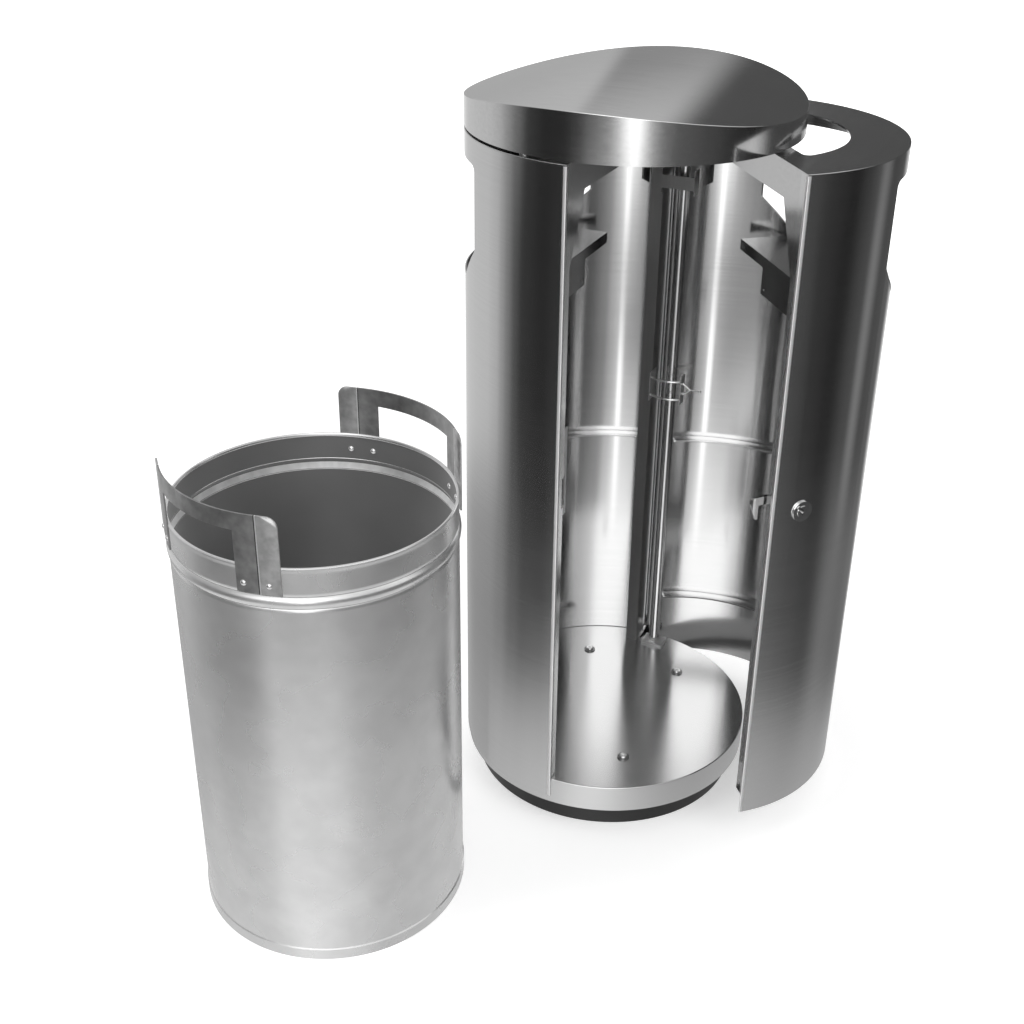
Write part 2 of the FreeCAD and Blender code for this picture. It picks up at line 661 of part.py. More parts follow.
def rear_notch(z0, z1):
    """Room for the door's rear edge as it swings, outside a round land about the hinge."""
    block = box(*NOTCH_X, HINGE_Y, SHELL_R + 1, z0, z1)
    return block.cut(cylinder(NOTCH_RELIEF_R, z0, z1, HINGE_X, HINGE_Y))


def floor_pan():
    """Shallow dish, open side down."""
    dish = cylinder(PAN_R, PAN_BOTTOM_Z, PAN_TOP_Z)
    dish = dish.makeFillet(PAN_EDGE_R, rim_edges(dish, PAN_TOP_Z))
    dish = dish.cut(cylinder(PAN_R - PAN_T, PAN_BOTTOM_Z - 1, FOOT_TOP_Z))
    return dish.cut(rear_notch(PAN_BOTTOM_Z - 1, PAN_TOP_Z + 1)).cut(fuse_all(floor_screw_holes()))


def foot():
    """Moulded foot: a sole, a wall and an inner flange that takes the floor screws."""
    inner = FOOT_R - FOOT_WALL
    flange_z = FOOT_TOP_Z - FOOT_FLANGE_T
    outline = [
        (0, 0), (FOOT_R, 0), (FOOT_R, FOOT_TOP_Z), (FOOT_FLANGE_INNER_R, FOOT_TOP_Z),
        (FOOT_FLANGE_INNER_R, flange_z), (inner, flange_z), (inner, FOOT_SOLE_T), (0, FOOT_SOLE_T),
    ]
    return revolve(outline).cut(fuse_all(floor_screw_holes()))


def floor_washers():
    z1 = PAN_TOP_Z + FLOOR_WASHER_T
    return [ring(FLOOR_WASHER_R, FLOOR_SCREW_SHANK_R, PAN_TOP_Z, z1, x, y) for x, y in floor_spots()]


def floor_screws():
    """Button-head screws with a hexagon socket."""
    z0 = PAN_TOP_Z + FLOOR_WASHER_T
    z1 = z0 + FLOOR_SCREW_HEAD_H
    screws = []
    for x, y in floor_spots():
        shank = cylinder(FLOOR_SCREW_SHANK_R, PAN_TOP_Z - FLOOR_SCREW_LENGTH, z0, x, y)
        head = cylinder(FLOOR_SCREW_HEAD_R, z0, z1, x, y)
        top_edge = [e for e in head.Edges if abs(e.CenterOfMass.z - z1) < 0.01]
        head = head.makeFillet(FLOOR_SCREW_HEAD_H * 0.6, top_edge)
        socket = hexagon(FLOOR_SCREW_SOCKET_R, z1 - FLOOR_SCREW_SOCKET_DEPTH, z1 + 1, x, y)
        screws.append(fuse([shank, head]).cut(socket))
    return screws


# Door, drawn closed

def door_relief():
    """Corners of the rear edge that are cut away to clear the pivots."""
    y0 = HINGE_Y
    low = box(0, RELIEF_X, y0, SHELL_R + 1, 0, HINGE_WEB_Z[0])
    high = box(0, RELIEF_X, y0, SHELL_R + 1, HINGE_WEB_Z[1], PLATE_BOTTOM_Z)
    return low, high


def door_panel():
    low, high = door_relief()
    body = fuse([half_skin(REAR_GAP_DOOR), front_return()])
    return body.cut(low).cut(high).cut(lock_axis_rod(LOCK_SLEEVE_R, LOCK_INNER_R, SHELL_R + 9))


def door_top_plate():
    """As on the fixed half, with its rear corner rounded about the hinge axis."""
    swing_r = HINGE_X - HALF_GAP - PLATE_RELIEF_CLEAR
    corner = box(0, HINGE_X, HINGE_Y, SHELL_R, PLATE_BOTTOM_Z, PLATE_TOP_Z)
    corner = corner.cut(cylinder(swing_r, PLATE_BOTTOM_Z, PLATE_TOP_Z, HINGE_X, HINGE_Y))
    return half_top_plate().cut(corner)


def hinge_tube():
    return ring(TUBE_R, PIN_R + PIN_CLEAR, TUBE_LOW_Z, TUBE_HIGH_Z, HINGE_X, HINGE_Y)


def hinge_web():
    """Upright strip that welds the tube to the door's skin."""
    half = HINGE_WEB_T / 2
    strip = box(HINGE_X - half, HINGE_X + half, HINGE_Y, SHELL_R, *HINGE_WEB_Z)
    strip = strip.common(cylinder(SKIN_INNER_R, *HINGE_WEB_Z))
    return strip.cut(cylinder(TUBE_R, 0, PLATE_TOP_Z, HINGE_X, HINGE_Y))


# Lock and latch: u runs along the skin towards the seam, v upwards, n outwards

LOCK_N = polar(1, LOCK_ANGLE)
LOCK_U = V(LOCK_N.y, -LOCK_N.x, 0)


def lock_point(radius, u=0.0, v=0.0):
    """Point at a distance from the body's axis along the lock's own axis."""
    return LOCK_N * radius + LOCK_U * u + V(0, 0, LOCK_Z + v)


def lock_axis_rod(radius, inner, outer):
    return rod(lock_point(inner), lock_point(outer), radius)


def lock_sleeve():
    """Threaded sleeve with a flange on the outside of the skin."""
    body = lock_axis_rod(LOCK_SLEEVE_R, LOCK_INNER_R, SHELL_R)
    flange = lock_axis_rod(LOCK_FLANGE_R, SHELL_R, SHELL_R + LOCK_FLANGE_T)
    bore = lock_axis_rod(PLUG_R + PLUG_CLEAR, LOCK_INNER_R - 1, SHELL_R + LOCK_FLANGE_T + 1)
    return fuse([body, flange]).cut(bore)


def lock_nut():
    """Nut that clamps the sleeve from inside."""
    outer = math.sqrt(SKIN_INNER_R ** 2 - LOCK_NUT_R ** 2)
    inner = outer - LOCK_NUT_T
    corners = [lock_point(inner) + LOCK_U * (LOCK_NUT_R * math.cos(math.radians(60 * k)))
               + UP * (LOCK_NUT_R * math.sin(math.radians(60 * k))) for k in range(6)]
    return prism(corners, LOCK_N * LOCK_NUT_T).cut(lock_axis_rod(LOCK_SLEEVE_R, inner - 1, outer + 1))


def lock_plug():
    """Turning plug with its keyway."""
    face = SHELL_R + LOCK_FLANGE_T + PLUG_PROUD
    body = lock_axis_rod(PLUG_R, LOCK_INNER_R - PLUG_TAIL, face)
    half_l = KEYWAY_LENGTH / 2
    half_w = KEYWAY_WIDTH / 2
    corners = [lock_point(face - KEYWAY_DEPTH, u, v)
               for u, v in ((-half_w, -half_l), (half_w, -half_l), (half_w, half_l), (-half_w, half_l))]
    return body.cut(prism(corners, LOCK_N * (KEYWAY_DEPTH + 1)))


def latch_hook():
    """Flat hook on the plug's tail: a boss, an arm towards the seam and a nose turned down."""
    outer = LOCK_INNER_R - PLUG_TAIL
    inner = outer - HOOK_T
    outline = [
        (0, HOOK_ARM_LOW), (HOOK_THROAT_U, HOOK_ARM_LOW), (HOOK_THROAT_U, HOOK_TIP_V),
        (HOOK_TIP_U, HOOK_TIP_V), (HOOK_REACH_U, HOOK_NOSE_V),
        (HOOK_REACH_U, HOOK_ARM_HIGH), (0, HOOK_ARM_HIGH),
    ]
    arm = prism([lock_point(inner, u, v) for u, v in outline], LOCK_N * HOOK_T)
    corner = lock_point((inner + outer) / 2, HOOK_REACH_U, HOOK_ARM_HIGH)
    crown = [e for e in arm.Edges if (e.CenterOfMass - corner).Length < 0.1]
    arm = arm.makeFillet(HOOK_CROWN_R, crown)
    neck = prism([lock_point(inner, u, v) for u, v in
                  ((-HOOK_BOSS_R, 0), (HOOK_BOSS_R, 0), (HOOK_BOSS_R, HOOK_ARM_HIGH), (0, HOOK_ARM_HIGH))],
                 LOCK_N * HOOK_T)
    return fuse([lock_axis_rod(HOOK_BOSS_R, inner, outer), neck, arm])


def latch_screw():
    outer = LOCK_INNER_R - PLUG_TAIL - HOOK_T
    return lock_axis_rod(LATCH_SCREW_R, outer - LATCH_SCREW_H, outer)


# Liner, drawn about the Z axis and then set in place

def placed_liner(shape):
    turned = shape.copy()
    turned.rotate(V(0, 0, 0), UP, LINER_TURN)
    turned.translate(V(LINER_X, LINER_Y, 0))
    return turned


def liner_wall():
    """Rolled sheet with a wired rim, a bead below it and a folded foot seam."""
    wall = ring(LINER_OUTER_R, LINER_OUTER_R - LINER_T, 0, LINER_HEIGHT)
    bead_centre = LINER_OUTER_R + LINER_BEAD_PROUD - LINER_BEAD_R
    bead = Part.makeTorus(bead_centre, LINER_BEAD_R, V(0, 0, LINER_BEAD_Z))
    bead = bead.cut(cylinder(LINER_OUTER_R - LINER_T, 0, LINER_HEIGHT))
    groove = Part.makeTorus(bead_centre, LINER_BEAD_R - LINER_T, V(0, 0, LINER_BEAD_Z))
    rim = Part.makeTorus(LINER_OUTER_R - LINER_RIM_R, LINER_RIM_R, V(0, 0, LINER_HEIGHT - LINER_RIM_R))
    seam = ring(LINER_SEAM_R, LINER_OUTER_R - LINER_T, 0, LINER_SEAM_H)
    return fuse([wall, bead, rim, seam]).cut(groove)


def liner_base():
    """Dished base pressed into the foot seam."""
    outer = LINER_OUTER_R - LINER_T
    z1 = LINER_BASE_Z + LINER_T
    outline = [
        (0, LINER_BASE_Z), (outer - LINER_T, LINER_BASE_Z), (outer - LINER_T, 0), (outer, 0),
        (outer, z1), (0, z1),
    ]
    return revolve(outline)


def handle():
    """Grip strip over an open window, on two legs that end in flat flaps."""
    inner = LINER_OUTER_R
    outer = inner + HANDLE_T
    fold = HANDLE_FOLD_ANGLE
    window_top = HANDLE_TOP_Z - HANDLE_STRIP
    band_piece = ring_sector(outer, inner, HANDLE_FOOT_Z, HANDLE_TOP_Z, -fold, fold)
    window = ring_sector(outer + 1, inner - 1, HANDLE_FOOT_Z - 1, window_top,
                         -HANDLE_WINDOW_ANGLE, HANDLE_WINDOW_ANGLE)
    pieces = [band_piece.cut(window)]
    for side in (-1, 1):
        base = polar(inner, side * fold, HANDLE_FOOT_Z)
        out = polar(HANDLE_T, side * fold)
        along = polar(HANDLE_FLAP, side * (fold + 90.0))
        if side < 0:
            along = polar(HANDLE_FLAP, side * fold - 90.0)
        flap = prism([base, base + out, base + out + along, base + along],
                     V(0, 0, HANDLE_TOP_Z - HANDLE_FOOT_Z))
        tip = base + along + out * 0.5
        corner = V(tip.x, tip.y, HANDLE_TOP_Z)
        edges = [e for e in flap.Edges if (e.CenterOfMass - corner).Length < 0.1]
        pieces.append(flap.makeFillet(HANDLE_FLAP_CORNER_R, edges))
    return fuse(pieces)


def handle_back():
    turned = handle()
    turned.rotate(V(0, 0, 0), UP, 180)
    return turned


def liner_rivets():
    """Rivets through each leg and flap, headed inside and out."""
    rivets = []
    for turn in (0.0, 180.0):
        for side in (-1, 1):
            for angle in HANDLE_RIVET_ANGLES:
                where = side * angle
                over = max(0.0, angle - HANDLE_FOLD_ANGLE)
                face = (LINER_OUTER_R + HANDLE_T) / math.cos(math.radians(over))
                start = polar(LINER_OUTER_R - LINER_T - RIVET_HEAD, turn + where, HANDLE_RIVET_Z)
                end = polar(face + RIVET_HEAD, turn + where, HANDLE_RIVET_Z)
                rivets.append(rod(start, end, RIVET_R))
    return rivets


def with_rivet_holes(shape, rivets):
    return shape.cut(fuse_all(rivets))


def nodes():
    """Every sub-part by name, each a solid or a list of like solids."""
    rivets = liner_rivets()
    door = {
        "door_panel": [door_panel()],
        "door_top_plate": [door_top_plate()],
        "door_sill": [sill()],
        "door_sill_rivets": sill_rivets(),
        "door_band_upper": [band(BAND_UPPER_Z)],
        "door_band_lower": [band(BAND_LOWER_Z)],
        "hinge_tube": [hinge_tube()],
        "hinge_web": [hinge_web()],
        "lock_sleeve": [lock_sleeve()],
        "lock_nut": [lock_nut()],
        "lock_plug": [lock_plug()],
        "latch_hook": [latch_hook()],
        "latch_screw": [latch_screw()],
    }
    fixed = {
        "foot": [foot()],
        "floor_pan": [floor_pan()],
        "floor_washers": floor_washers(),
        "floor_screws": floor_screws(),
        "left_panel": [left_panel()],
        "left_top_plate": [left_top_plate()],
        "left_sill": [mirrored(sill())],
        "left_sill_rivets": [mirrored(r) for r in sill_rivets()],
        "left_band": [mirrored(band(BAND_UPPER_Z))],
        "left_post": [left_post()],
        "keeper": [keeper()],
        "keeper_rivets": keeper_rivets(),
        "hinge_clip": [hinge_clip()],
        "hinge_strap": [hinge_strap()],
        "strap_bolts": strap_bolts(),
        "pivot_foot": [pivot_foot()],
        "pivot_pin_lower": [pivot_pin_lower()],
        "pivot_plate_upper": [pivot_plate_upper()],
        "pivot_pin_upper": [pivot_pin_upper()],
        "roof": [roof()],
        "roof_ring": [roof_ring()],
        "roof_spacers": roof_spacers(),
        "roof_screws": roof_screws(),
    }
    liner = {
        "liner_wall": [with_rivet_holes(liner_wall(), rivets)],
        "liner_base": [liner_base()],
        "liner_handle_front": [with_rivet_holes(handle(), rivets)],
        "liner_handle_back": [with_rivet_holes(handle_back(), rivets)],
        "liner_rivets": rivets,
    }
    result = dict(fixed)
    result.update({name: [opened(s) for s in shapes] for name, shapes in door.items()})
    result.update({name: [placed_liner(s) for s in shapes] for name, shapes in liner.items()})
    return result


def main():
    os.makedirs("parts", exist_ok=True)
    for name, shapes in nodes().items():
        shape = shapes[0] if len(shapes) == 1 else Part.makeCompound(shapes)
        shape.exportStep("parts/" + name + ".step")
        print(name, "valid", shape.isValid(), "solids", len(shape.Solids), "volume", round(shape.Volume))


main()
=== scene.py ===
import json
import math

import bmesh
import bpy
from mathutils import Matrix, Vector


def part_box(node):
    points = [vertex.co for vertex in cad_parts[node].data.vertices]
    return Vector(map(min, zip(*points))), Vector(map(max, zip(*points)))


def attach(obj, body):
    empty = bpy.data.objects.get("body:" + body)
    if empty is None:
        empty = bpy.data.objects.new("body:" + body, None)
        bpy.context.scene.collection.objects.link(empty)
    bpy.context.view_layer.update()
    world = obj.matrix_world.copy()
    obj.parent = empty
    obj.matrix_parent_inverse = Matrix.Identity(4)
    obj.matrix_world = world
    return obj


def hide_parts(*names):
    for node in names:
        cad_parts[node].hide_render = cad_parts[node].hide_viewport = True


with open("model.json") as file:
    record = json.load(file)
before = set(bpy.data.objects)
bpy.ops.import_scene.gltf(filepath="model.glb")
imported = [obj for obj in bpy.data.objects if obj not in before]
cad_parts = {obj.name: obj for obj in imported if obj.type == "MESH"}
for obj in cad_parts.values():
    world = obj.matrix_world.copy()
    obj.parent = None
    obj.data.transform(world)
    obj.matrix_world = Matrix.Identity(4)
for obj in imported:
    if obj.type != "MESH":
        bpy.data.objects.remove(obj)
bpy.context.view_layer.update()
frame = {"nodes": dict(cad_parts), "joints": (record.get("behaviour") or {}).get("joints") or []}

node = frame["nodes"]


# Camera: held at eye height in front of the seam and to the right of it, looking down on the bin.
# It is a short telephoto view, with the horizon tilted by about half a degree.
camera_place = Vector((0.6034, -1.6683, 1.3620))
camera_turn_left = math.radians(24.6)
camera_tip_down = math.radians(28.52)
camera_tilt = math.radians(0.56)
looking = Vector((
    -math.sin(camera_turn_left) * math.cos(camera_tip_down),
    math.cos(camera_turn_left) * math.cos(camera_tip_down),
    -math.sin(camera_tip_down),
))
camera_data = bpy.data.cameras.new("camera")
camera_data.lens = 49.805
camera_data.sensor_width = 36.0
camera_data.sensor_fit = "HORIZONTAL"
camera_data.dof.use_dof = False
camera = bpy.data.objects.new("camera", camera_data)
camera.matrix_world = (
    Matrix.Translation(camera_place)
    @ looking.to_track_quat("-Z", "Y").to_matrix().to_4x4()
    @ Matrix.Rotation(camera_tilt, 4, "Z")
)
bpy.context.scene.collection.objects.link(camera)
bpy.context.scene.camera = camera
bpy.context.scene.view_settings.view_transform = "Standard"


# Studio floor: a pale matt sweep that runs out of sight on all sides.
# The camera sees it almost white, and it keeps the soft shadow under the bin and the liner.
def studio_object(name, shape):
    """Turns a bmesh into an object of the studio."""
    mesh = bpy.data.meshes.new(name)
    shape.to_mesh(mesh)
    shape.free()
    made = bpy.data.objects.new(name, mesh)
    bpy.context.scene.collection.objects.link(made)
    return made


floor_half_side = 30.0
floor_drop = 0.0004
shape = bmesh.new()
bmesh.ops.create_grid(shape, x_segments=1, y_segments=1, size=floor_half_side)
bmesh.ops.translate(shape, verts=shape.verts, vec=(0, 0, -floor_drop))
floor = studio_object("studio_floor", shape)
floor.visible_glossy = False

pale_floor = bpy.data.materials.new("pale_floor")
pale_floor.use_nodes = True
tree = pale_floor.node_tree
paint = tree.nodes["Principled BSDF"]
paint.inputs["Base Color"].default_value = (0.80, 0.80, 0.80, 1.0)
paint.inputs["Roughness"].default_value = 0.9
# the glow that only the camera sees rises with the distance from the bin
near_reach, far_reach = 0.8, 3.5
near_glow, far_glow = 0.50, 1.2
place = tree.nodes.new("ShaderNodeTexCoord")
reach = tree.nodes.new("ShaderNodeVectorMath")
reach.operation = "LENGTH"
tree.links.new(place.outputs["Object"], reach.inputs[0])
lift = tree.nodes.new("ShaderNodeMapRange")
lift.interpolation_type = "SMOOTHSTEP"
lift.inputs["From Min"].default_value = near_reach
lift.inputs["From Max"].default_value = far_reach
lift.inputs["To Min"].default_value = near_glow
lift.inputs["To Max"].default_value = far_glow
tree.links.new(reach.outputs["Value"], lift.inputs["Value"])
rays = tree.nodes.new("ShaderNodeLightPath")
seen = tree.nodes.new("ShaderNodeMath")
seen.operation = "MULTIPLY"
tree.links.new(rays.outputs["Is Camera Ray"], seen.inputs[0])
tree.links.new(lift.outputs["Result"], seen.inputs[1])
paint.inputs["Emission Color"].default_value = (1.0, 1.0, 1.0, 1.0)
tree.links.new(seen.outputs[0], paint.inputs["Emission Strength"])
floor.data.materials.append(pale_floor)


# Studio air: white wherever the camera, a mirror or a glass looks, so that nothing of a room shows.
# Matt surfaces take a plain soft fill from it, a little over half as strong.
world = bpy.data.worlds.new("studio_air")
world.use_nodes = True
bpy.context.scene.world = world
tree = world.node_tree
fill = tree.nodes["Background"]
fill.inputs["Color"].default_value = (1.0, 1.0, 1.0, 1.0)
fill.inputs["Strength"].default_value = 0.55
backdrop = tree.nodes.new("ShaderNodeBackground")
backdrop.inputs["Color"].default_value = (1.0, 1.0, 1.0, 1.0)
backdrop.inputs["Strength"].default_value = 1.0
rays = tree.nodes.new("ShaderNodeLightPath")
looks = tree.nodes.new("ShaderNodeMath")
looks.operation = "MAXIMUM"
tree.links.new(rays.outputs["Is Camera Ray"], looks.inputs[0])
tree.links.new(rays.outputs["Is Glossy Ray"], looks.inputs[1])
looks_through = tree.nodes.new("ShaderNodeMath")
looks_through.operation = "MAXIMUM"
tree.links.new(looks.outputs[0], looks_through.inputs[0])
tree.links.new(rays.outputs["Is Transmission Ray"], looks_through.inputs[1])
either = tree.nodes.new("ShaderNodeMixShader")
tree.links.new(looks_through.outputs[0], either.inputs[0])
tree.links.new(fill.outputs[0], either.inputs[1])
tree.links.new(backdrop.outputs[0], either.inputs[2])
tree.links.new(either.outputs[0], tree.nodes["World Output"].inputs["Surface"])


# Softboxes: one large lamp up to the left of the camera, and a weaker one to the right.
# They light the matt parts and the floor; the steel takes its light from the surround below.
lamps_aim_at = Vector((-0.05, -0.15, 0.45))
for lamp_name, lamp_place, lamp_size, lamp_power in (
    ("softbox_left", (-2.2, -1.6, 3.0), 2.4, 70.0),
    ("softbox_right", (2.6, -1.0, 2.4), 2.0, 30.0),
):
    lamp_data = bpy.data.lights.new(lamp_name, "AREA")
    lamp_data.shape = "SQUARE"
    lamp_data.size = lamp_size
    lamp_data.energy = lamp_power
    lamp = bpy.data.objects.new(lamp_name, lamp_data)
    aim = lamps_aim_at - Vector(lamp_place)
    lamp.matrix_world = Matrix.Translation(lamp_place) @ aim.to_track_quat("-Z", "Y").to_matrix().to_4x4()
    lamp.visible_glossy = False
    bpy.context.scene.collection.objects.link(lamp)


# Studio surround: rings of light and dark cards far round the bin, which only polished surfaces see.
# They give the steel its upright bands. Low down they fade to the pale ground, and overhead they open
# to the white air.
surround_r = 12.0
surround_open = 0.80
surround_light = 2.4
steel_grey = 0.64
# each ring goes all round at one height, and pairs an azimuth in degrees from +X with the brightness
# of the steel that mirrors it
eye_cards = (
    (-180, 0.44), (-168, 0.38), (-160, 0.25), (-152, 0.14), (-141, 0.035), (-128, 0.02), (-116, 0.02),
    (-106, 0.04), (-96, 0.12), (-87, 0.20), (-80, 0.45), (-75, 0.95), (-72, 1.2), (-66, 1.2), (-62, 0.65),
    (-57, 0.30), (-50, 0.14), (-40, 0.08), (-18, 0.05), (0, 0.024), (14, 0.014), (24, 0.03), (35, 0.06),
    (44, 0.14), (56, 0.05), (74, 0.06), (81, 0.27), (88, 0.52), (100, 0.46), (121, 0.60), (145, 0.45),
    (180, 0.44),
)
cards = (
    (-180, 0.44), (-171, 0.40), (-165, 0.28), (-159, 0.17), (-152, 0.07), (-145, 0.03), (-128, 0.018),
    (-113, 0.03), (-105, 0.11), (-96, 0.27), (-86, 0.37), (-78, 0.40), (-71.5, 0.45), (-69.5, 1.3),
    (-67.8, 1.3), (-65.8, 0.46), (-61, 0.33), (-55, 0.18), (-42, 0.07), (-20, 0.06), (-8, 0.03),
    (12, 0.018), (33, 0.06), (42, 0.17), (54, 0.06), (74, 0.09), (80, 0.27), (87, 0.52), (100, 0.46),
    (121, 0.66), (134, 0.46), (180, 0.46),
)
low_cards = (
    (-180, 0.23), (-166, 0.18), (-152, 0.09), (-140, 0.045), (-124, 0.035), (-112, 0.08), (-104, 0.20),
    (-96, 0.50), (-84, 0.85), (-68, 0.98), (-60, 0.62), (-52, 0.28), (-34, 0.14), (-10, 0.06), (15, 0.045),
    (38, 0.14), (60, 0.12), (80, 0.13), (88, 0.36), (110, 0.34), (128, 0.30), (160, 0.24), (180, 0.23),
)
ground = (
    (-180, 0.36), (-165, 0.40), (-150, 0.42), (-126, 0.46), (-105, 0.52), (-92, 0.54),
    (-80, 0.54), (-62, 0.48), (-40, 0.42), (-20, 0.38), (15, 0.32), (45, 0.32), (90, 0.33), (130, 0.30),
    (180, 0.30),
)
high_cards = (
    (-180, 0.40), (-150, 0.20), (-135, 0.12), (-118, 0.30), (-103, 0.95), (-92, 1.65), (-80, 2.3),
    (-66, 2.3), (-58, 1.6), (-50, 0.80), (-38, 0.62), (-20, 0.45), (0, 0.60), (30, 0.75), (60, 0.40),
    (90, 0.20), (130, 0.40), (180, 0.40),
)
underfoot = (
    (-180, 0.46), (-150, 0.50), (-120, 0.52), (-90, 0.66), (-60, 0.56), (-10, 0.40), (40, 0.46), (70, 0.44),
    (180, 0.46),
)
shape = bmesh.new()
bmesh.ops.create_uvsphere(shape, u_segments=96, v_segments=48, radius=surround_r)
high = [v for v in shape.verts if v.co.z > surround_r * surround_open]
bmesh.ops.delete(shape, geom=high, context="VERTS")
surround = studio_object("studio_surround", shape)


def only_mirrored(studio_thing):
    """Hides a studio object from everything but polished surfaces."""
    studio_thing.visible_camera = False
    studio_thing.visible_diffuse = False
    studio_thing.visible_transmission = False
    studio_thing.visible_volume_scatter = False
    studio_thing.visible_shadow = False


only_mirrored(surround)

card_light = bpy.data.materials.new("card_light")
card_light.use_nodes = True
card_light.cycles.emission_sampling = "NONE"
tree = card_light.node_tree
tree.nodes.remove(tree.nodes["Principled BSDF"])


def round_share(azimuth):
    """Share of the way round, from an azimuth in degrees."""
    return (azimuth + 180) / 360


def ring_of_cards(tree, stops, turned):
    """Greys of one ring by the share of the way round."""
    ramp = tree.nodes.new("ShaderNodeValToRGB")
    ramp.color_ramp.interpolation = "EASE"
    for index, (azimuth, light) in enumerate(stops):
        where = round_share(azimuth)
        if index == 0:
            stop = ramp.color_ramp.elements[0]
        elif index == len(stops) - 1:
            stop = ramp.color_ramp.elements[-1]
        else:
            stop = ramp.color_ramp.elements.new(where)
        stop.position = where
        grey = min(1.0, light / steel_grey / surround_light)
        stop.color = (grey, grey, grey, 1.0)
    tree.links.new(turned, ramp.inputs["Fac"])
    return ramp.outputs["Color"]


def step_between(tree, source, low, high):
    """0 at the first value and 1 at the second, with a soft step between them."""
    step = tree.nodes.new("ShaderNodeMapRange")
    step.interpolation_type = "SMOOTHSTEP"
    step.inputs["From Min"].default_value = low
    step.inputs["From Max"].default_value = high
    tree.links.new(source, step.inputs["Value"])
    return step.outputs["Result"]


def shared(tree, first, second):
    """The part that lies in both of two masks."""
    both = tree.nodes.new("ShaderNodeMath")
    both.operation = "MULTIPLY"
    tree.links.new(first, both.inputs[0])
    tree.links.new(second, both.inputs[1])
    return both.outputs[0]


def azimuth_of(tree, parts):
    """Azimuth in radians, from the X and Y parts of a direction."""
    azimuth = tree.nodes.new("ShaderNodeMath")
    azimuth.operation = "ARCTAN2"
    tree.links.new(parts.outputs["Y"], azimuth.inputs[0])
    tree.links.new(parts.outputs["X"], azimuth.inputs[1])
    return azimuth.outputs[0]


def mixed_grey(tree, factor, low, high):
    """Mix of two colours or greys by a factor."""
    mix = tree.nodes.new("ShaderNodeMix")
    mix.data_type = "RGBA"
    tree.links.new(factor, mix.inputs["Factor"])
    for value, socket in ((low, mix.inputs["A"]), (high, mix.inputs["B"])):
        if isinstance(value, float):
            socket.default_value = (value, value, value, 1.0)
        else:
            tree.links.new(value, socket)
    return mix.outputs["Result"]


place = tree.nodes.new("ShaderNodeTexCoord")
direction = tree.nodes.new("ShaderNodeVectorMath")
direction.operation = "NORMALIZE"
tree.links.new(place.outputs["Object"], direction.inputs[0])
parts = tree.nodes.new("ShaderNodeSeparateXYZ")
tree.links.new(direction.outputs[0], parts.inputs[0])
turn = tree.nodes.new("ShaderNodeMapRange")
turn.inputs["From Min"].default_value = -math.pi
turn.inputs["From Max"].default_value = math.pi
tree.links.new(azimuth_of(tree, parts), turn.inputs["Value"])
height = parts.outputs["Z"]
turned = turn.outputs["Result"]
# from the ground up, each ring takes over from the one below it between two heights, given as shares
# of the surround's radius
rings = ring_of_cards(tree, underfoot, turned)
for stops, low, high in (
    (ground, -0.68, -0.60),
    (low_cards, -0.60, -0.53),
    (cards, -0.46, -0.37),
    (eye_cards, -0.24, -0.14),
    (high_cards, 0.02, 0.22),
):
    ring = ring_of_cards(tree, stops, turned)
    rings = mixed_grey(tree, step_between(tree, height, low, high), rings, ring)
# the window wall behind the bin, which the roof shows: a light card, a graded card and a dark one
full_card = steel_grey * surround_light
graded = mixed_grey(tree, step_between(tree, height, 0.25, 0.42), 0.19 / full_card, 0.45 / full_card)
left_card = step_between(tree, turned, round_share(111.3), round_share(112.7))
right_card = step_between(tree, turned, round_share(101.8), round_share(105.6))
back_wall = mixed_grey(tree, right_card, 0.062 / full_card, graded)
left_grey = mixed_grey(tree, step_between(tree, height, 0.15, 0.35), 0.30 / full_card, 0.40 / full_card)
back_wall = mixed_grey(tree, left_card, back_wall, left_grey)
facing_back = step_between(tree, parts.outputs["Y"], 0.2, 0.5)
over_roof = step_between(tree, height, -0.06, 0.0)
all_cards = mixed_grey(tree, shared(tree, facing_back, over_roof), rings, back_wall)
glow = tree.nodes.new("ShaderNodeEmission")
glow.inputs["Strength"].default_value = surround_light
tree.links.new(all_cards, glow.inputs["Color"])
tree.links.new(glow.outputs[0], tree.nodes["Material Output"].inputs["Surface"])
surround.data.materials.append(card_light)


# Foot: a black rubber moulding under the floor pan, whose ring stands out below the shell.
# It is pressed in one piece and has the faint orange-peel skin and scuffs of moulded rubber.
def fine_skin_group():
    """Small soft bumps of a moulded or cast skin, with a slower drift over them."""
    made = bpy.data.node_groups.new("fine_skin", "ShaderNodeTree")
    made.interface.new_socket("Vector", in_out="INPUT", socket_type="NodeSocketVector")
    made.interface.new_socket("Fine", in_out="INPUT", socket_type="NodeSocketFloat")
    made.interface.new_socket("Broad", in_out="INPUT", socket_type="NodeSocketFloat")
    made.interface.new_socket("Skin", in_out="OUTPUT", socket_type="NodeSocketFloat")
    made.interface.new_socket("Drift", in_out="OUTPUT", socket_type="NodeSocketFloat")
    given = made.nodes.new("NodeGroupInput")
    out = made.nodes.new("NodeGroupOutput")
    for scale_name, out_name, detail in (("Fine", "Skin", 2.0), ("Broad", "Drift", 4.0)):
        cloud = made.nodes.new("ShaderNodeTexNoise")
        cloud.inputs["Detail"].default_value = detail
        made.links.new(given.outputs["Vector"], cloud.inputs["Vector"])
        made.links.new(given.outputs[scale_name], cloud.inputs["Scale"])
        made.links.new(cloud.outputs["Fac"], out.inputs[out_name])
    return made


fine_skin = fine_skin_group()


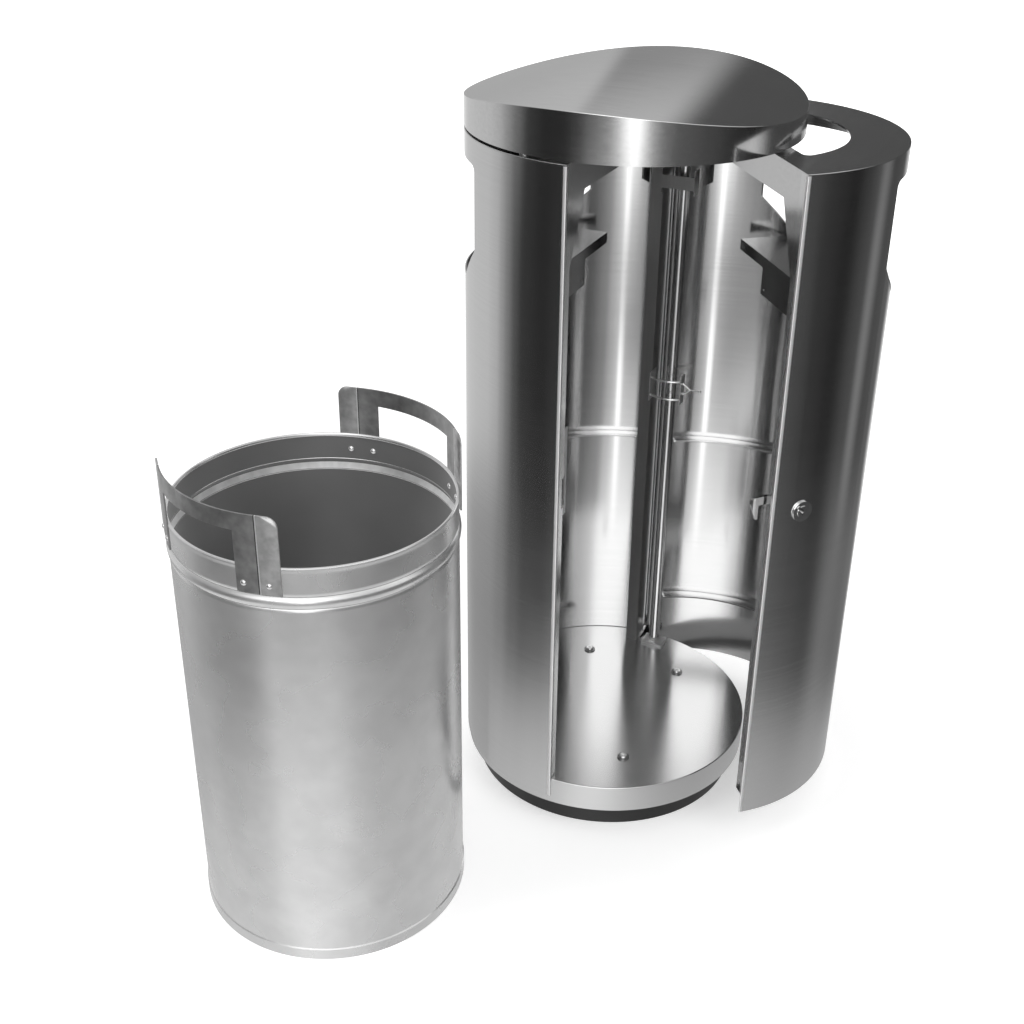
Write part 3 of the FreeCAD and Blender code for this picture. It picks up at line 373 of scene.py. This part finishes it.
def ranged(tree, source, low, high, source_low=0.3, source_high=0.7):
    """Value between two limits, following a mask."""
    step = tree.nodes.new("ShaderNodeMapRange")
    step.inputs["From Min"].default_value = source_low
    step.inputs["From Max"].default_value = source_high
    step.inputs["To Min"].default_value = low
    step.inputs["To Max"].default_value = high
    tree.links.new(source, step.inputs["Value"])
    return step.outputs["Result"]


def bumped(tree, surface, height, depth, strength):
    """Bump of a given depth in metres on a shader."""
    bump = tree.nodes.new("ShaderNodeBump")
    bump.inputs["Distance"].default_value = depth
    bump.inputs["Strength"].default_value = strength
    tree.links.new(height, bump.inputs["Height"])
    tree.links.new(bump.outputs["Normal"], surface.inputs["Normal"])


def finished_with(material, *names):
    """The named CAD nodes take one material."""
    for name in names:
        slots = node[name].data.materials
        slots.clear()
        slots.append(material)


rubber = bpy.data.materials.new("black_rubber")
rubber.use_nodes = True
tree = rubber.node_tree
surface = tree.nodes["Principled BSDF"]
skin = tree.nodes.new("ShaderNodeGroup")
skin.node_tree = fine_skin
skin.inputs["Fine"].default_value = 900.0
skin.inputs["Broad"].default_value = 14.0
place = tree.nodes.new("ShaderNodeTexCoord")
tree.links.new(place.outputs["Object"], skin.inputs["Vector"])
tree.links.new(mixed_grey(tree, skin.outputs["Drift"], 0.012, 0.022), surface.inputs["Base Color"])
tree.links.new(ranged(tree, skin.outputs["Drift"], 0.28, 0.46), surface.inputs["Roughness"])
bumped(tree, surface, skin.outputs["Skin"], 0.0002, 0.25)
finished_with(rubber, "foot")


# Floor pan: a shallow spun dish of stainless sheet with a turned-down skirt.
# It is brushed in one direction, and four bright button-head screws on darker washers hold it to the foot.
def brushed_grain_group():
    """Belt grain: hair-fine lines, in bundles that fade in and out, with a slow drift of tone."""
    made = bpy.data.node_groups.new("brushed_grain", "ShaderNodeTree")
    made.interface.new_socket("Vector", in_out="INPUT", socket_type="NodeSocketVector")
    made.interface.new_socket("Lines", in_out="OUTPUT", socket_type="NodeSocketFloat")
    made.interface.new_socket("Drift", in_out="OUTPUT", socket_type="NodeSocketFloat")
    given = made.nodes.new("NodeGroupInput")
    out = made.nodes.new("NodeGroupOutput")
    hairs = made.nodes.new("ShaderNodeTexNoise")
    hairs.inputs["Scale"].default_value = 1.0
    hairs.inputs["Detail"].default_value = 3.0
    made.links.new(given.outputs["Vector"], hairs.inputs["Vector"])
    smaller = made.nodes.new("ShaderNodeVectorMath")
    smaller.operation = "SCALE"
    smaller.inputs["Scale"].default_value = 0.16
    made.links.new(given.outputs["Vector"], smaller.inputs[0])
    bundles = made.nodes.new("ShaderNodeTexNoise")
    bundles.inputs["Scale"].default_value = 1.0
    bundles.inputs["Detail"].default_value = 1.0
    made.links.new(smaller.outputs[0], bundles.inputs["Vector"])
    both = made.nodes.new("ShaderNodeMath")
    both.operation = "MULTIPLY_ADD"
    both.inputs[1].default_value = 0.6
    made.links.new(hairs.outputs["Fac"], both.inputs[0])
    share = made.nodes.new("ShaderNodeMath")
    share.operation = "MULTIPLY"
    share.inputs[1].default_value = 0.4
    made.links.new(bundles.outputs["Fac"], share.inputs[0])
    made.links.new(share.outputs[0], both.inputs[2])
    made.links.new(both.outputs[0], out.inputs["Lines"])
    made.links.new(bundles.outputs["Fac"], out.inputs["Drift"])
    return made


brushed_grain = brushed_grain_group()


def brushed_steel(
        name, grey, rough, anisotropy, glare_along, lines_per_metre, fold=None, line_contrast=0.06):
    """Belt-brushed stainless sheet. The glare is drawn out along one direction, across the lines.

    A fold is an upright edge (x, y, reach) whose bend is painted near white within its reach, a painted
    highlight, with a rougher surface there.
    """
    mottle = 0.03
    line_depth = 0.00001
    fold_highlight_grey = 0.95
    fold_rough = 0.5
    material = bpy.data.materials.new(name)
    material.use_nodes = True
    tree = material.node_tree
    surface = tree.nodes["Principled BSDF"]
    surface.inputs["Metallic"].default_value = 1.0
    surface.inputs["Anisotropic"].default_value = anisotropy
    place = tree.nodes.new("ShaderNodeTexCoord")
    stretch = tree.nodes.new("ShaderNodeMapping")
    stretch.inputs["Scale"].default_value = lines_per_metre
    tree.links.new(place.outputs["Object"], stretch.inputs["Vector"])
    grain = tree.nodes.new("ShaderNodeGroup")
    grain.node_tree = brushed_grain
    tree.links.new(stretch.outputs["Vector"], grain.inputs["Vector"])
    tone = mixed_grey(
        tree, ranged(tree, grain.outputs["Lines"], 0.0, 1.0),
        grey * (1 - line_contrast), min(1.0, grey * (1 + line_contrast)))
    handled = tree.nodes.new("ShaderNodeGroup")
    handled.node_tree = fine_skin
    handled.inputs["Broad"].default_value = 5.0
    tree.links.new(place.outputs["Object"], handled.inputs["Vector"])
    dull = mixed_grey(tree, ranged(tree, handled.outputs["Drift"], 0.0, 1.0), 1.0 - mottle, 1.0)
    worn = tree.nodes.new("ShaderNodeMix")
    worn.data_type = "RGBA"
    worn.blend_type = "MULTIPLY"
    worn.inputs["Factor"].default_value = 1.0
    tree.links.new(tone, worn.inputs["A"])
    tree.links.new(dull, worn.inputs["B"])
    blend = tree.nodes.new("ShaderNodeMath")
    blend.operation = "ADD"
    rough_lines = ranged(tree, grain.outputs["Lines"], -line_contrast / 3, line_contrast / 3)
    tree.links.new(rough_lines, blend.inputs[0])
    tree.links.new(ranged(tree, handled.outputs["Drift"], rough - 0.015, rough + 0.02), blend.inputs[1])
    if fold is None:
        tree.links.new(worn.outputs["Result"], surface.inputs["Base Color"])
        tree.links.new(blend.outputs[0], surface.inputs["Roughness"])
    else:
        level = tree.nodes.new("ShaderNodeVectorMath")
        level.operation = "MULTIPLY"
        level.inputs[1].default_value = (1.0, 1.0, 0.0)
        tree.links.new(place.outputs["Object"], level.inputs[0])
        off_fold = tree.nodes.new("ShaderNodeVectorMath")
        off_fold.operation = "DISTANCE"
        off_fold.inputs[1].default_value = (fold[0], fold[1], 0.0)
        tree.links.new(level.outputs[0], off_fold.inputs[0])
        # within the fold's reach the base colour is painted near white, a painted highlight of the bend
        plain_sheet = step_between(tree, off_fold.outputs["Value"], fold[2] * 0.5, fold[2])
        folded = mixed_grey(tree, plain_sheet, fold_highlight_grey, worn.outputs["Result"])
        tree.links.new(folded, surface.inputs["Base Color"])
        fold_highlight_roughness = tree.nodes.new("ShaderNodeMix")
        tree.links.new(plain_sheet, fold_highlight_roughness.inputs["Factor"])
        fold_highlight_roughness.inputs["A"].default_value = fold_rough
        tree.links.new(blend.outputs[0], fold_highlight_roughness.inputs["B"])
        tree.links.new(fold_highlight_roughness.outputs["Result"], surface.inputs["Roughness"])
    bumped(tree, surface, grain.outputs["Lines"], line_depth, 4 * line_contrast)
    along = tree.nodes.new("ShaderNodeCombineXYZ")
    for socket, value in zip(along.inputs, glare_along):
        socket.default_value = value
    in_world = tree.nodes.new("ShaderNodeVectorTransform")
    in_world.vector_type = "VECTOR"
    in_world.convert_from = "OBJECT"
    in_world.convert_to = "WORLD"
    tree.links.new(along.outputs[0], in_world.inputs[0])
    tree.links.new(in_world.outputs[0], surface.inputs["Tangent"])
    return material


pan_steel = brushed_steel(
    "pan_steel", 0.68, 0.25, 0.3, (-0.42, 0.91, 0), (1500, 10, 1500), line_contrast=0.006)
finished_with(pan_steel, "floor_pan")
washer_steel = brushed_steel("washer_steel", 0.22, 0.34, 0.0, (1, 0, 0), (900, 900, 900))
finished_with(washer_steel, "floor_washers")
screw_steel = brushed_steel("screw_steel", 0.84, 0.26, 0.0, (1, 0, 0), (900, 900, 900))
finished_with(screw_steel, "floor_screws")


# Shell: two half cylinders of 1.5 mm stainless sheet, rolled, with the front edge of each folded in.
# The lines of the belt run round the shell, so the glare is drawn out up and down it.
# The door is drawn swung 39 degrees open about its upright hinge.
hinge = Vector(frame["joints"][0]["pos_m"])
door_open = math.radians(-frame["joints"][0]["range_deg"][0])
door_swung = Matrix.Translation(hinge) @ Matrix.Rotation(door_open, 4, "Z") @ Matrix.Translation(-hinge)
shell_r = 0.210
half_seam = 0.001
fold_inset = 0.0012
fold_reach = 0.0042
left_fold = Vector((-half_seam - fold_inset, fold_inset - shell_r, 0.0))
door_fold = door_swung @ Vector((half_seam + fold_inset, fold_inset - shell_r, 0.0))
# the front folds of both halves carry the painted highlight along their bend
shell_steel = brushed_steel(
    "shell_steel", steel_grey, 0.12, 0.8, (0, 0, 1), (5, 5, 2200),
    fold=(left_fold.x, left_fold.y, fold_reach), line_contrast=0.035)
finished_with(shell_steel, "left_panel")
door_steel = brushed_steel(
    "door_steel", steel_grey, 0.12, 0.8, (0, 0, 1), (6, 4, 2200),
    fold=(door_fold.x, door_fold.y, fold_reach), line_contrast=0.035)
finished_with(door_steel, "door_panel")


# Top plates and sills: cut and folded from stainless sheet and welded inside each half.
# The plates are brushed along the seam; the sills are a darker grey than the plates, and rougher.
plate_steel = brushed_steel("plate_steel", 0.60, 0.16, 0.4, (0, 1, 0), (1500, 8, 1500))
finished_with(plate_steel, "left_top_plate", "door_top_plate")
sill_steel = brushed_steel("sill_steel", 0.32, 0.24, 0.3, (1, 0, 0), (10, 3000, 3000))
finished_with(sill_steel, "left_sill", "door_sill", "left_sill_rivets", "door_sill_rivets")


# Stiffening ledges: flat bar rolled on edge and welded level inside each half, like a narrow shelf.
# They stand in for the plain bands of the CAD model, at the same height and over the same arc.
def eased(shape, width):
    """Breaks the sharp edges of a mesh by a small radius."""
    smooth_up_to = math.radians(30)
    sharp = [e for e in shape.edges if len(e.link_faces) == 2 and e.calc_face_angle() > smooth_up_to]
    bmesh.ops.bevel(shape, geom=sharp, offset=width, affect="EDGES", segments=2, profile=0.5, material=-1)


def finished_piece(name, shape, material, body, *stands_for):
    """Turns a bmesh into a smooth-shaded object that rides on a body."""
    mesh = bpy.data.meshes.new(name)
    shape.to_mesh(mesh)
    shape.free()
    mesh.materials.append(material)
    for face in mesh.polygons:
        face.use_smooth = True
    mesh.set_sharp_from_angle(angle=math.radians(35))
    piece = bpy.data.objects.new(name, mesh)
    bpy.context.scene.collection.objects.link(piece)
    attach(piece, body)
    if stands_for:
        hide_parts(*stands_for)
    return piece


ledge_reach = 0.016
ledge_thick = 0.003
ledge_outer_r = 0.2085
ledge_half_arc = math.radians(83)
ledge_edge_radius = 0.0005
ledge_steel = brushed_steel("ledge_steel", 0.70, 0.22, 0.0, (1, 0, 0), (6, 6, 1500))
# a dark grey for the ledge's inner edge and under side, painted shade
ledge_shade_steel = brushed_steel("ledge_painted_shade", 0.16, 0.40, 0.0, (1, 0, 0), (6, 6, 1500))
for ledge_node, body, middle_angle in (
    ("left_band", "housing", math.pi), ("door_band_upper", "door", 0.0), ("door_band_lower", "door", 0.0),
):
    low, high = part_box(ledge_node)
    level = (low.z + high.z) / 2
    shape = bmesh.new()
    corners = [
        shape.verts.new((r, 0.0, z))
        for r, z in (
            (ledge_outer_r, level - ledge_thick / 2), (ledge_outer_r, level + ledge_thick / 2),
            (ledge_outer_r - ledge_reach, level + ledge_thick / 2),
            (ledge_outer_r - ledge_reach, level - ledge_thick / 2),
        )
    ]
    section = shape.faces.new(corners)
    first_end = Matrix.Rotation(middle_angle - ledge_half_arc, 3, "Z")
    bmesh.ops.rotate(shape, verts=shape.verts, cent=(0, 0, 0), matrix=first_end)
    bmesh.ops.spin(
        shape, geom=[section] + section.edges[:] + section.verts[:], cent=(0, 0, 0), axis=(0, 0, 1),
        angle=2 * ledge_half_arc, steps=96, use_merge=False, use_duplicate=False)
    bmesh.ops.recalc_face_normals(shape, faces=shape.faces)
    eased(shape, ledge_edge_radius)
    # the inner edge and the under side are painted darker than the top, as painted shade
    for face in shape.faces:
        faces_axis = face.normal.dot(face.calc_center_median().normalized()) < -0.5
        under = face.normal.z < -0.5
        face.material_index = 1 if faces_axis or under else 0
    if body == "door":
        bmesh.ops.transform(shape, matrix=door_swung, verts=shape.verts)
    ledge = finished_piece(ledge_node.replace("band", "ledge"), shape, ledge_steel, body, ledge_node)
    ledge.data.materials.append(ledge_shade_steel)


# Rear angle and keeper: an upright angle of dull sheet, welded inside the fixed half, carries the hinge.
# The keeper is a brighter plate riveted behind the front fold, with the window that the lock's hook enters.
post_steel = brushed_steel("post_steel", 0.80, 0.46, 0.5, (0, 0, 1), (1500, 1500, 8))
finished_with(post_steel, "keeper", "keeper_rivets")
angle_steel = brushed_steel("angle_steel", 0.42, 0.36, 0.5, (0, 0, 1), (1500, 1500, 8))
finished_with(angle_steel, "left_post")


# Hinge: a drawn steel tube turns on two pins, and a strip joins it to the door's skin.
# A folded strap with blackened bolts holds it near the top, and a sprung wire clip lower down.
tube_steel = brushed_steel("tube_steel", 0.66, 0.20, 0.5, (0, 0, 1), (1200, 1200, 6))
finished_with(tube_steel, "hinge_tube")
strap_steel = brushed_steel("strap_steel", 0.46, 0.42, 0.5, (0, 0, 1), (1200, 1200, 6))
finished_with(strap_steel, "hinge_web", "hinge_strap")
wire_steel = brushed_steel("wire_steel", 0.90, 0.30, 0.0, (0, 0, 1), (300, 300, 300))
finished_with(wire_steel, "hinge_clip", "pivot_foot", "pivot_pin_lower")
finished_with(wire_steel, "pivot_plate_upper", "pivot_pin_upper")
screw_black = bpy.data.materials.new("blackened_screw")
screw_black.use_nodes = True
tree = screw_black.node_tree
surface = tree.nodes["Principled BSDF"]
surface.inputs["Metallic"].default_value = 0.9
skin = tree.nodes.new("ShaderNodeGroup")
skin.node_tree = fine_skin
skin.inputs["Fine"].default_value = 2500.0
skin.inputs["Broad"].default_value = 300.0
place = tree.nodes.new("ShaderNodeTexCoord")
tree.links.new(place.outputs["Object"], skin.inputs["Vector"])
tree.links.new(mixed_grey(tree, skin.outputs["Drift"], 0.02, 0.05), surface.inputs["Base Color"])
tree.links.new(ranged(tree, skin.outputs["Drift"], 0.22, 0.38), surface.inputs["Roughness"])
bumped(tree, surface, skin.outputs["Skin"], 0.00005, 0.4)
finished_with(screw_black, "strap_bolts")


# Roof: an arched stainless sheet with a skirt all round, brushed across, a few millimetres above the top
# plates. A ring, spacers and screws of plain bright steel hold it to the fixed half.
roof_steel = brushed_steel("roof_steel", steel_grey, 0.12, 0.5, (-0.42, 0.91, 0), (5, 1600, 1600))
finished_with(roof_steel, "roof")
finished_with(post_steel, "roof_ring", "roof_spacers", "roof_screws")


# Lock: a chromed sleeve held in the door by its nut, and the plug that turns in it.
# A flat hook is held on the plug's tail by a blackened screw.
lock_chrome = brushed_steel("lock_chrome", 0.82, 0.12, 0.0, (0, 0, 1), (300, 300, 300))
finished_with(lock_chrome, "lock_sleeve", "lock_nut", "lock_plug", "latch_hook")
finished_with(screw_black, "latch_screw")


# Dust flap: a small chromed tongue over the keyway, pinned to the plug's face, which turns with it.
# At rest it points up and to the left across the sleeve's ring.
lock_centre = Vector(frame["joints"][1]["pos_m"])
outward = -Vector(frame["joints"][1]["axis"]).normalized()
upward = Vector((0, 0, 1))
rightward = upward.cross(outward)
face_out = max((vert.co - lock_centre).dot(outward) for vert in node["lock_sleeve"].data.vertices)
tongue_along = (upward - rightward).normalized()
tongue_long, tongue_wide, tongue_thick = 0.0125, 0.0042, 0.0010
tongue_gap = 0.0002
tongue_past_centre = 0.001
tongue_edge_radius = 0.0004
shape = bmesh.new()
bmesh.ops.create_cube(shape, size=1.0)
stand = Matrix((
    tongue_along * tongue_long, outward.cross(tongue_along) * tongue_wide, outward * tongue_thick,
)).transposed().to_4x4()
middle = (
    lock_centre + outward * (face_out + tongue_gap + tongue_thick / 2)
    + tongue_along * (tongue_long / 2 - tongue_past_centre)
)
bmesh.ops.transform(shape, matrix=Matrix.Translation(middle) @ stand, verts=shape.verts)
eased(shape, tongue_edge_radius)
finished_piece("lock_flap", shape, lock_chrome, "latch")


# Liner: a rolled and seamed bucket of zinc-coated sheet that stands beside the bin, with a pressed base.
# The wall has a foot seam, a swelled bead near the top and a hemmed rim. Its inside is painted darker than
# its outside, as painted shade.
def zinc_sheet(name, light, dark, rough, spangle_scale, metal=0.85, raised=True):
    """Hot-dipped sheet: dull crystals of zinc, a hair proud if raised, some lighter and some darker."""
    material = bpy.data.materials.new(name)
    material.use_nodes = True
    tree = material.node_tree
    surface = tree.nodes["Principled BSDF"]
    surface.inputs["Metallic"].default_value = metal
    place = tree.nodes.new("ShaderNodeTexCoord")
    skin = tree.nodes.new("ShaderNodeGroup")
    skin.node_tree = fine_skin
    skin.inputs["Fine"].default_value = spangle_scale
    skin.inputs["Broad"].default_value = 9.0
    tree.links.new(place.outputs["Object"], skin.inputs["Vector"])
    tone = mixed_grey(tree, ranged(tree, skin.outputs["Skin"], 0.0, 1.0), dark, light)
    tree.links.new(tone, surface.inputs["Base Color"])
    dullness = ranged(tree, skin.outputs["Drift"], rough - 0.05, rough + 0.06)
    tree.links.new(dullness, surface.inputs["Roughness"])
    if raised:
        bumped(tree, surface, skin.outputs["Skin"], 0.0001, 0.1)
    return material


liner_zinc = zinc_sheet("liner_zinc", 0.78, 0.72, 0.27, 30.0, metal=0.80, raised=False)
# the inside and the base are painted dark as painted shade, and the bead's band is painted pale as a painted
# highlight
inner_shade_zinc = zinc_sheet("liner_inner_painted_shade", 0.22, 0.16, 0.44, 6.0, metal=0.25, raised=False)
bead_highlight_zinc = zinc_sheet("liner_bead_painted_highlight", 0.90, 0.70, 0.45, 60.0, metal=0.55, raised=False)

# the wall is spun from its section: foot seam, straight sheet, swelled bead, hemmed rim, and the same inside
liner_r = 0.173
liner_sheet = 0.001
base_low, base_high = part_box("liner_base")
liner_centre = Vector(((base_low.x + base_high.x) / 2, (base_low.y + base_high.y) / 2, 0.0))
liner_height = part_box("liner_wall")[1].z
bead_z = liner_height - 0.0445
bead_half = 0.0068
bead_low, bead_high = bead_z - bead_half, bead_z + bead_half
bead_proud = 0.0025
bead_shoulder = bead_proud * 0.8
groove_deep = 0.0012
seam_high = 0.015
seam_proud = 0.0015
rim_r = 0.0016
rim_proud = 0.0004
inner_r = liner_r - liner_sheet
# the rings close to a bend keep the straight sheet straight where it is shaded smooth
outside = (
    (liner_r + seam_proud, 0.0), (liner_r + seam_proud, seam_high), (liner_r, seam_high + 0.0012),
    (liner_r, seam_high + 0.0040), (liner_r, bead_low - 0.0065), (liner_r, bead_low - 0.0035),
    (liner_r - groove_deep, bead_low - 0.0010), (liner_r, bead_low),
    (liner_r + bead_shoulder, bead_z - bead_half * 0.62), (liner_r + bead_proud, bead_z),
    (liner_r + bead_shoulder, bead_z + bead_half * 0.62), (liner_r, bead_high),
    (liner_r - groove_deep, bead_high + 0.0010), (liner_r, bead_high + 0.0035),
    (liner_r, bead_high + 0.0065), (liner_r, liner_height - 5.0 * rim_r),
    (liner_r, liner_height - 3.2 * rim_r),
    (liner_r + rim_proud, liner_height - 2 * rim_r), (liner_r + rim_proud, liner_height - 0.6 * rim_r),
    (liner_r - 0.4 * rim_r, liner_height),
)
inside = (
    (liner_r - 1.6 * rim_r, liner_height), (liner_r - 2 * rim_r, liner_height - 0.8 * rim_r),
    (liner_r - 2 * rim_r, liner_height - 2 * rim_r), (inner_r, liner_height - 3.2 * rim_r),
    (inner_r, liner_height - 5.0 * rim_r), (inner_r, bead_high + 0.0030), (inner_r, bead_high),
    (inner_r + bead_shoulder, bead_z + bead_half * 0.6), (inner_r + bead_proud, bead_z + bead_half * 0.2),
    (inner_r, bead_low), (inner_r, bead_low - 0.0030), (inner_r, 0.0),
)
shape = bmesh.new()
ring_of_verts = [shape.verts.new((r, 0.0, z)) for r, z in outside + inside]
section = [shape.edges.new((a, b)) for a, b in zip(ring_of_verts, ring_of_verts[1:] + ring_of_verts[:1])]
bmesh.ops.spin(
    shape, geom=section + ring_of_verts, cent=(0, 0, 0), axis=(0, 0, 1), angle=math.tau, steps=160,
    use_merge=True, use_duplicate=False)
bmesh.ops.remove_doubles(shape, verts=shape.verts, dist=0.00001)
bmesh.ops.recalc_face_normals(shape, faces=shape.faces)
# bright zinc outside, a darker zinc inside as painted shade, and a paler band where the bead's lower side
# looks up, as a painted highlight
for face in shape.faces:
    middle = face.calc_center_median()
    faces_axis = face.normal.x * middle.x + face.normal.y * middle.y < 0
    face.material_index = 1 if faces_axis and middle.z < liner_height - 3 * rim_r else 0
    if faces_axis and bead_low < middle.z < bead_z + bead_half * 0.2:
        face.material_index = 2
bmesh.ops.translate(shape, verts=shape.verts, vec=liner_centre)
drum = finished_piece("liner_drum", shape, liner_zinc, "housing", "liner_wall")
drum.data.materials.append(inner_shade_zinc)
drum.data.materials.append(bead_highlight_zinc)
shape = bmesh.new()
shape.from_mesh(node["liner_base"].data)
bmesh.ops.remove_doubles(shape, verts=shape.verts, dist=0.00001)
bottom = finished_piece("liner_bottom", shape, inner_shade_zinc, "housing", "liner_base")
# the bin's polished shell doesn't mirror the liner's pieces
drum.visible_glossy = False
bottom.visible_glossy = False


# Studio mat: a soft-edged patch of light on the ground by the liner, which only polished surfaces see.
# It is what the front of the liner mirrors: bright near its foot and greyer further out.
mat_r = 2.1
mat_lift = 0.0005
shape = bmesh.new()
bmesh.ops.create_circle(shape, cap_ends=True, segments=64, radius=mat_r)
bmesh.ops.translate(shape, verts=shape.verts, vec=liner_centre + Vector((0, 0, mat_lift)))
mat = studio_object("studio_mat", shape)
only_mirrored(mat)

mat_light = bpy.data.materials.new("mat_light")
mat_light.use_nodes = True
mat_light.cycles.emission_sampling = "NONE"
tree = mat_light.node_tree
tree.nodes.remove(tree.nodes["Principled BSDF"])
place = tree.nodes.new("ShaderNodeTexCoord")
from_liner = tree.nodes.new("ShaderNodeVectorMath")
from_liner.operation = "SUBTRACT"
from_liner.inputs[1].default_value = liner_centre
tree.links.new(place.outputs["Object"], from_liner.inputs[0])
reach = tree.nodes.new("ShaderNodeVectorMath")
reach.operation = "LENGTH"
tree.links.new(from_liner.outputs[0], reach.inputs[0])
parts = tree.nodes.new("ShaderNodeSeparateXYZ")
tree.links.new(from_liner.outputs[0], parts.inputs[0])
azimuth = azimuth_of(tree, parts)
away = reach.outputs["Value"]
# the patch lies towards the camera, between two azimuths and two distances, and fades out at each
in_front = shared(
    tree, step_between(tree, azimuth, math.radians(-102), math.radians(-86)),
    step_between(tree, azimuth, math.radians(-40), math.radians(-60)))
within_reach = shared(tree, step_between(tree, away, 0.22, 0.40), step_between(tree, away, 2.0, 1.75))
share = shared(tree, in_front, within_reach)
mat_tone = mixed_grey(tree, step_between(tree, away, 0.45, 1.0), 0.84, 0.38)
glow = tree.nodes.new("ShaderNodeEmission")
tree.links.new(mat_tone, glow.inputs["Color"])
through = tree.nodes.new("ShaderNodeBsdfTransparent")
soft_edge = tree.nodes.new("ShaderNodeMixShader")
tree.links.new(share, soft_edge.inputs[0])
tree.links.new(through.outputs[0], soft_edge.inputs[1])
tree.links.new(glow.outputs[0], soft_edge.inputs[2])
tree.links.new(soft_edge.outputs[0], tree.nodes["Material Output"].inputs["Surface"])
mat.data.materials.append(mat_light)


# Liner rivets: soft domed heads inside and out, through the sheet and the grips.
# Each sits where its plain rivet of the CAD model is, with its axis pointing at the drum's centre line.
def islands(node_name):
    """Corners of each loose part of a CAD node."""
    copy = bmesh.new()
    copy.from_mesh(node[node_name].data)
    bmesh.ops.remove_doubles(copy, verts=copy.verts, dist=0.00001)
    left = set(copy.verts)
    found = []
    while left:
        reached = [left.pop()]
        corners = [reached[0].co.copy()]
        while reached:
            for edge in reached.pop().link_edges:
                for vert in edge.verts:
                    if vert in left:
                        left.remove(vert)
                        reached.append(vert)
                        corners.append(vert.co.copy())
        found.append(corners)
    copy.free()
    return found


rivet_zinc = zinc_sheet("rivet_zinc", 0.86, 0.72, 0.20, 400.0)
rivet_head_r = 0.0036
rivet_dome = 0.0021
shape = bmesh.new()
for corners in islands("liner_rivets"):
    middle = sum(corners, Vector()) / len(corners)
    outward = Vector((middle.x - liner_centre.x, middle.y - liner_centre.y, 0.0)).normalized()
    along = [(corner - middle).dot(outward) for corner in corners]
    for tip, facing in ((max(along), outward), (min(along), -outward)):
        foot = middle + outward * tip - facing * rivet_dome
        dome = bmesh.ops.create_uvsphere(shape, u_segments=20, v_segments=12, radius=1.0)
        stand = (
            Matrix.Translation(foot) @ facing.to_track_quat("Z", "Y").to_matrix().to_4x4()
            @ Matrix.Diagonal((rivet_head_r, rivet_head_r, rivet_dome, 1.0))
        )
        bmesh.ops.transform(shape, matrix=stand, verts=dome["verts"])
bmesh.ops.recalc_face_normals(shape, faces=shape.faces)
rivet_heads = finished_piece("liner_rivet_heads", shape, rivet_zinc, "housing", "liner_rivets")
rivet_heads.visible_glossy = False


# Grips: curved zinc sheet with a window for the hand, folded a little at each end where it is riveted on.
# They are the CAD model's own shapes. The folds are cut in as narrow strips, a crease with painted shade and
# a ridge with a painted highlight, and the riveted ends are painted lighter, as painted light on their
# turned faces.
grip_zinc = zinc_sheet("grip_zinc", 0.38, 0.24, 0.32, 70.0, metal=0.75)
# the lighter ends, dark creases and bright ridges are painted light and shade
end_lit_zinc = zinc_sheet("grip_end_painted_light", 0.56, 0.38, 0.36, 90.0, metal=0.70)
crease_shade_zinc = zinc_sheet("grip_crease_painted_shade", 0.10, 0.06, 0.40, 200.0)
ridge_highlight_zinc = zinc_sheet("grip_ridge_painted_highlight", 0.92, 0.84, 0.30, 200.0)
end_wide = math.radians(8.4)
fold_wide = math.radians(0.42)


def off_facing(place, facing):
    """Angle round the liner's centre line, from the way that a grip faces."""
    angle = math.atan2(place.y - liner_centre.y, place.x - liner_centre.x)
    return (angle - facing + math.pi) % math.tau - math.pi


# out from a grip's middle come its plain sheet, a crease with painted shade, a ridge with a painted
# highlight and the riveted end painted lighter
for grip_node in ("liner_handle_front", "liner_handle_back"):
    low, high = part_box(grip_node)
    centre = (low + high) / 2 - liner_centre
    facing = math.atan2(centre.y, centre.x)
    shape = bmesh.new()
    shape.from_mesh(node[grip_node].data)
    bmesh.ops.remove_doubles(shape, verts=shape.verts, dist=0.00001)
    half_arc = max(off_facing(v.co, facing) for v in shape.verts)
    folds = (half_arc - end_wide - fold_wide, half_arc - end_wide, half_arc - end_wide + fold_wide)
    for side in (-1, 1):
        for fold in folds:
            angle = facing + side * fold
            bmesh.ops.bisect_plane(
                shape, geom=shape.faces[:] + shape.edges[:] + shape.verts[:], plane_co=liner_centre,
                plane_no=(-math.sin(angle), math.cos(angle), 0.0), dist=0.000001)
    for face in shape.faces:
        off = abs(off_facing(face.calc_center_median(), facing))
        face.material_index = sum(off > fold for fold in folds)
    grip = finished_piece(grip_node.replace("handle", "grip"), shape, grip_zinc, "housing", grip_node)
    for material in (crease_shade_zinc, ridge_highlight_zinc, end_lit_zinc):
        grip.data.materials.append(material)
    grip.visible_glossy = False
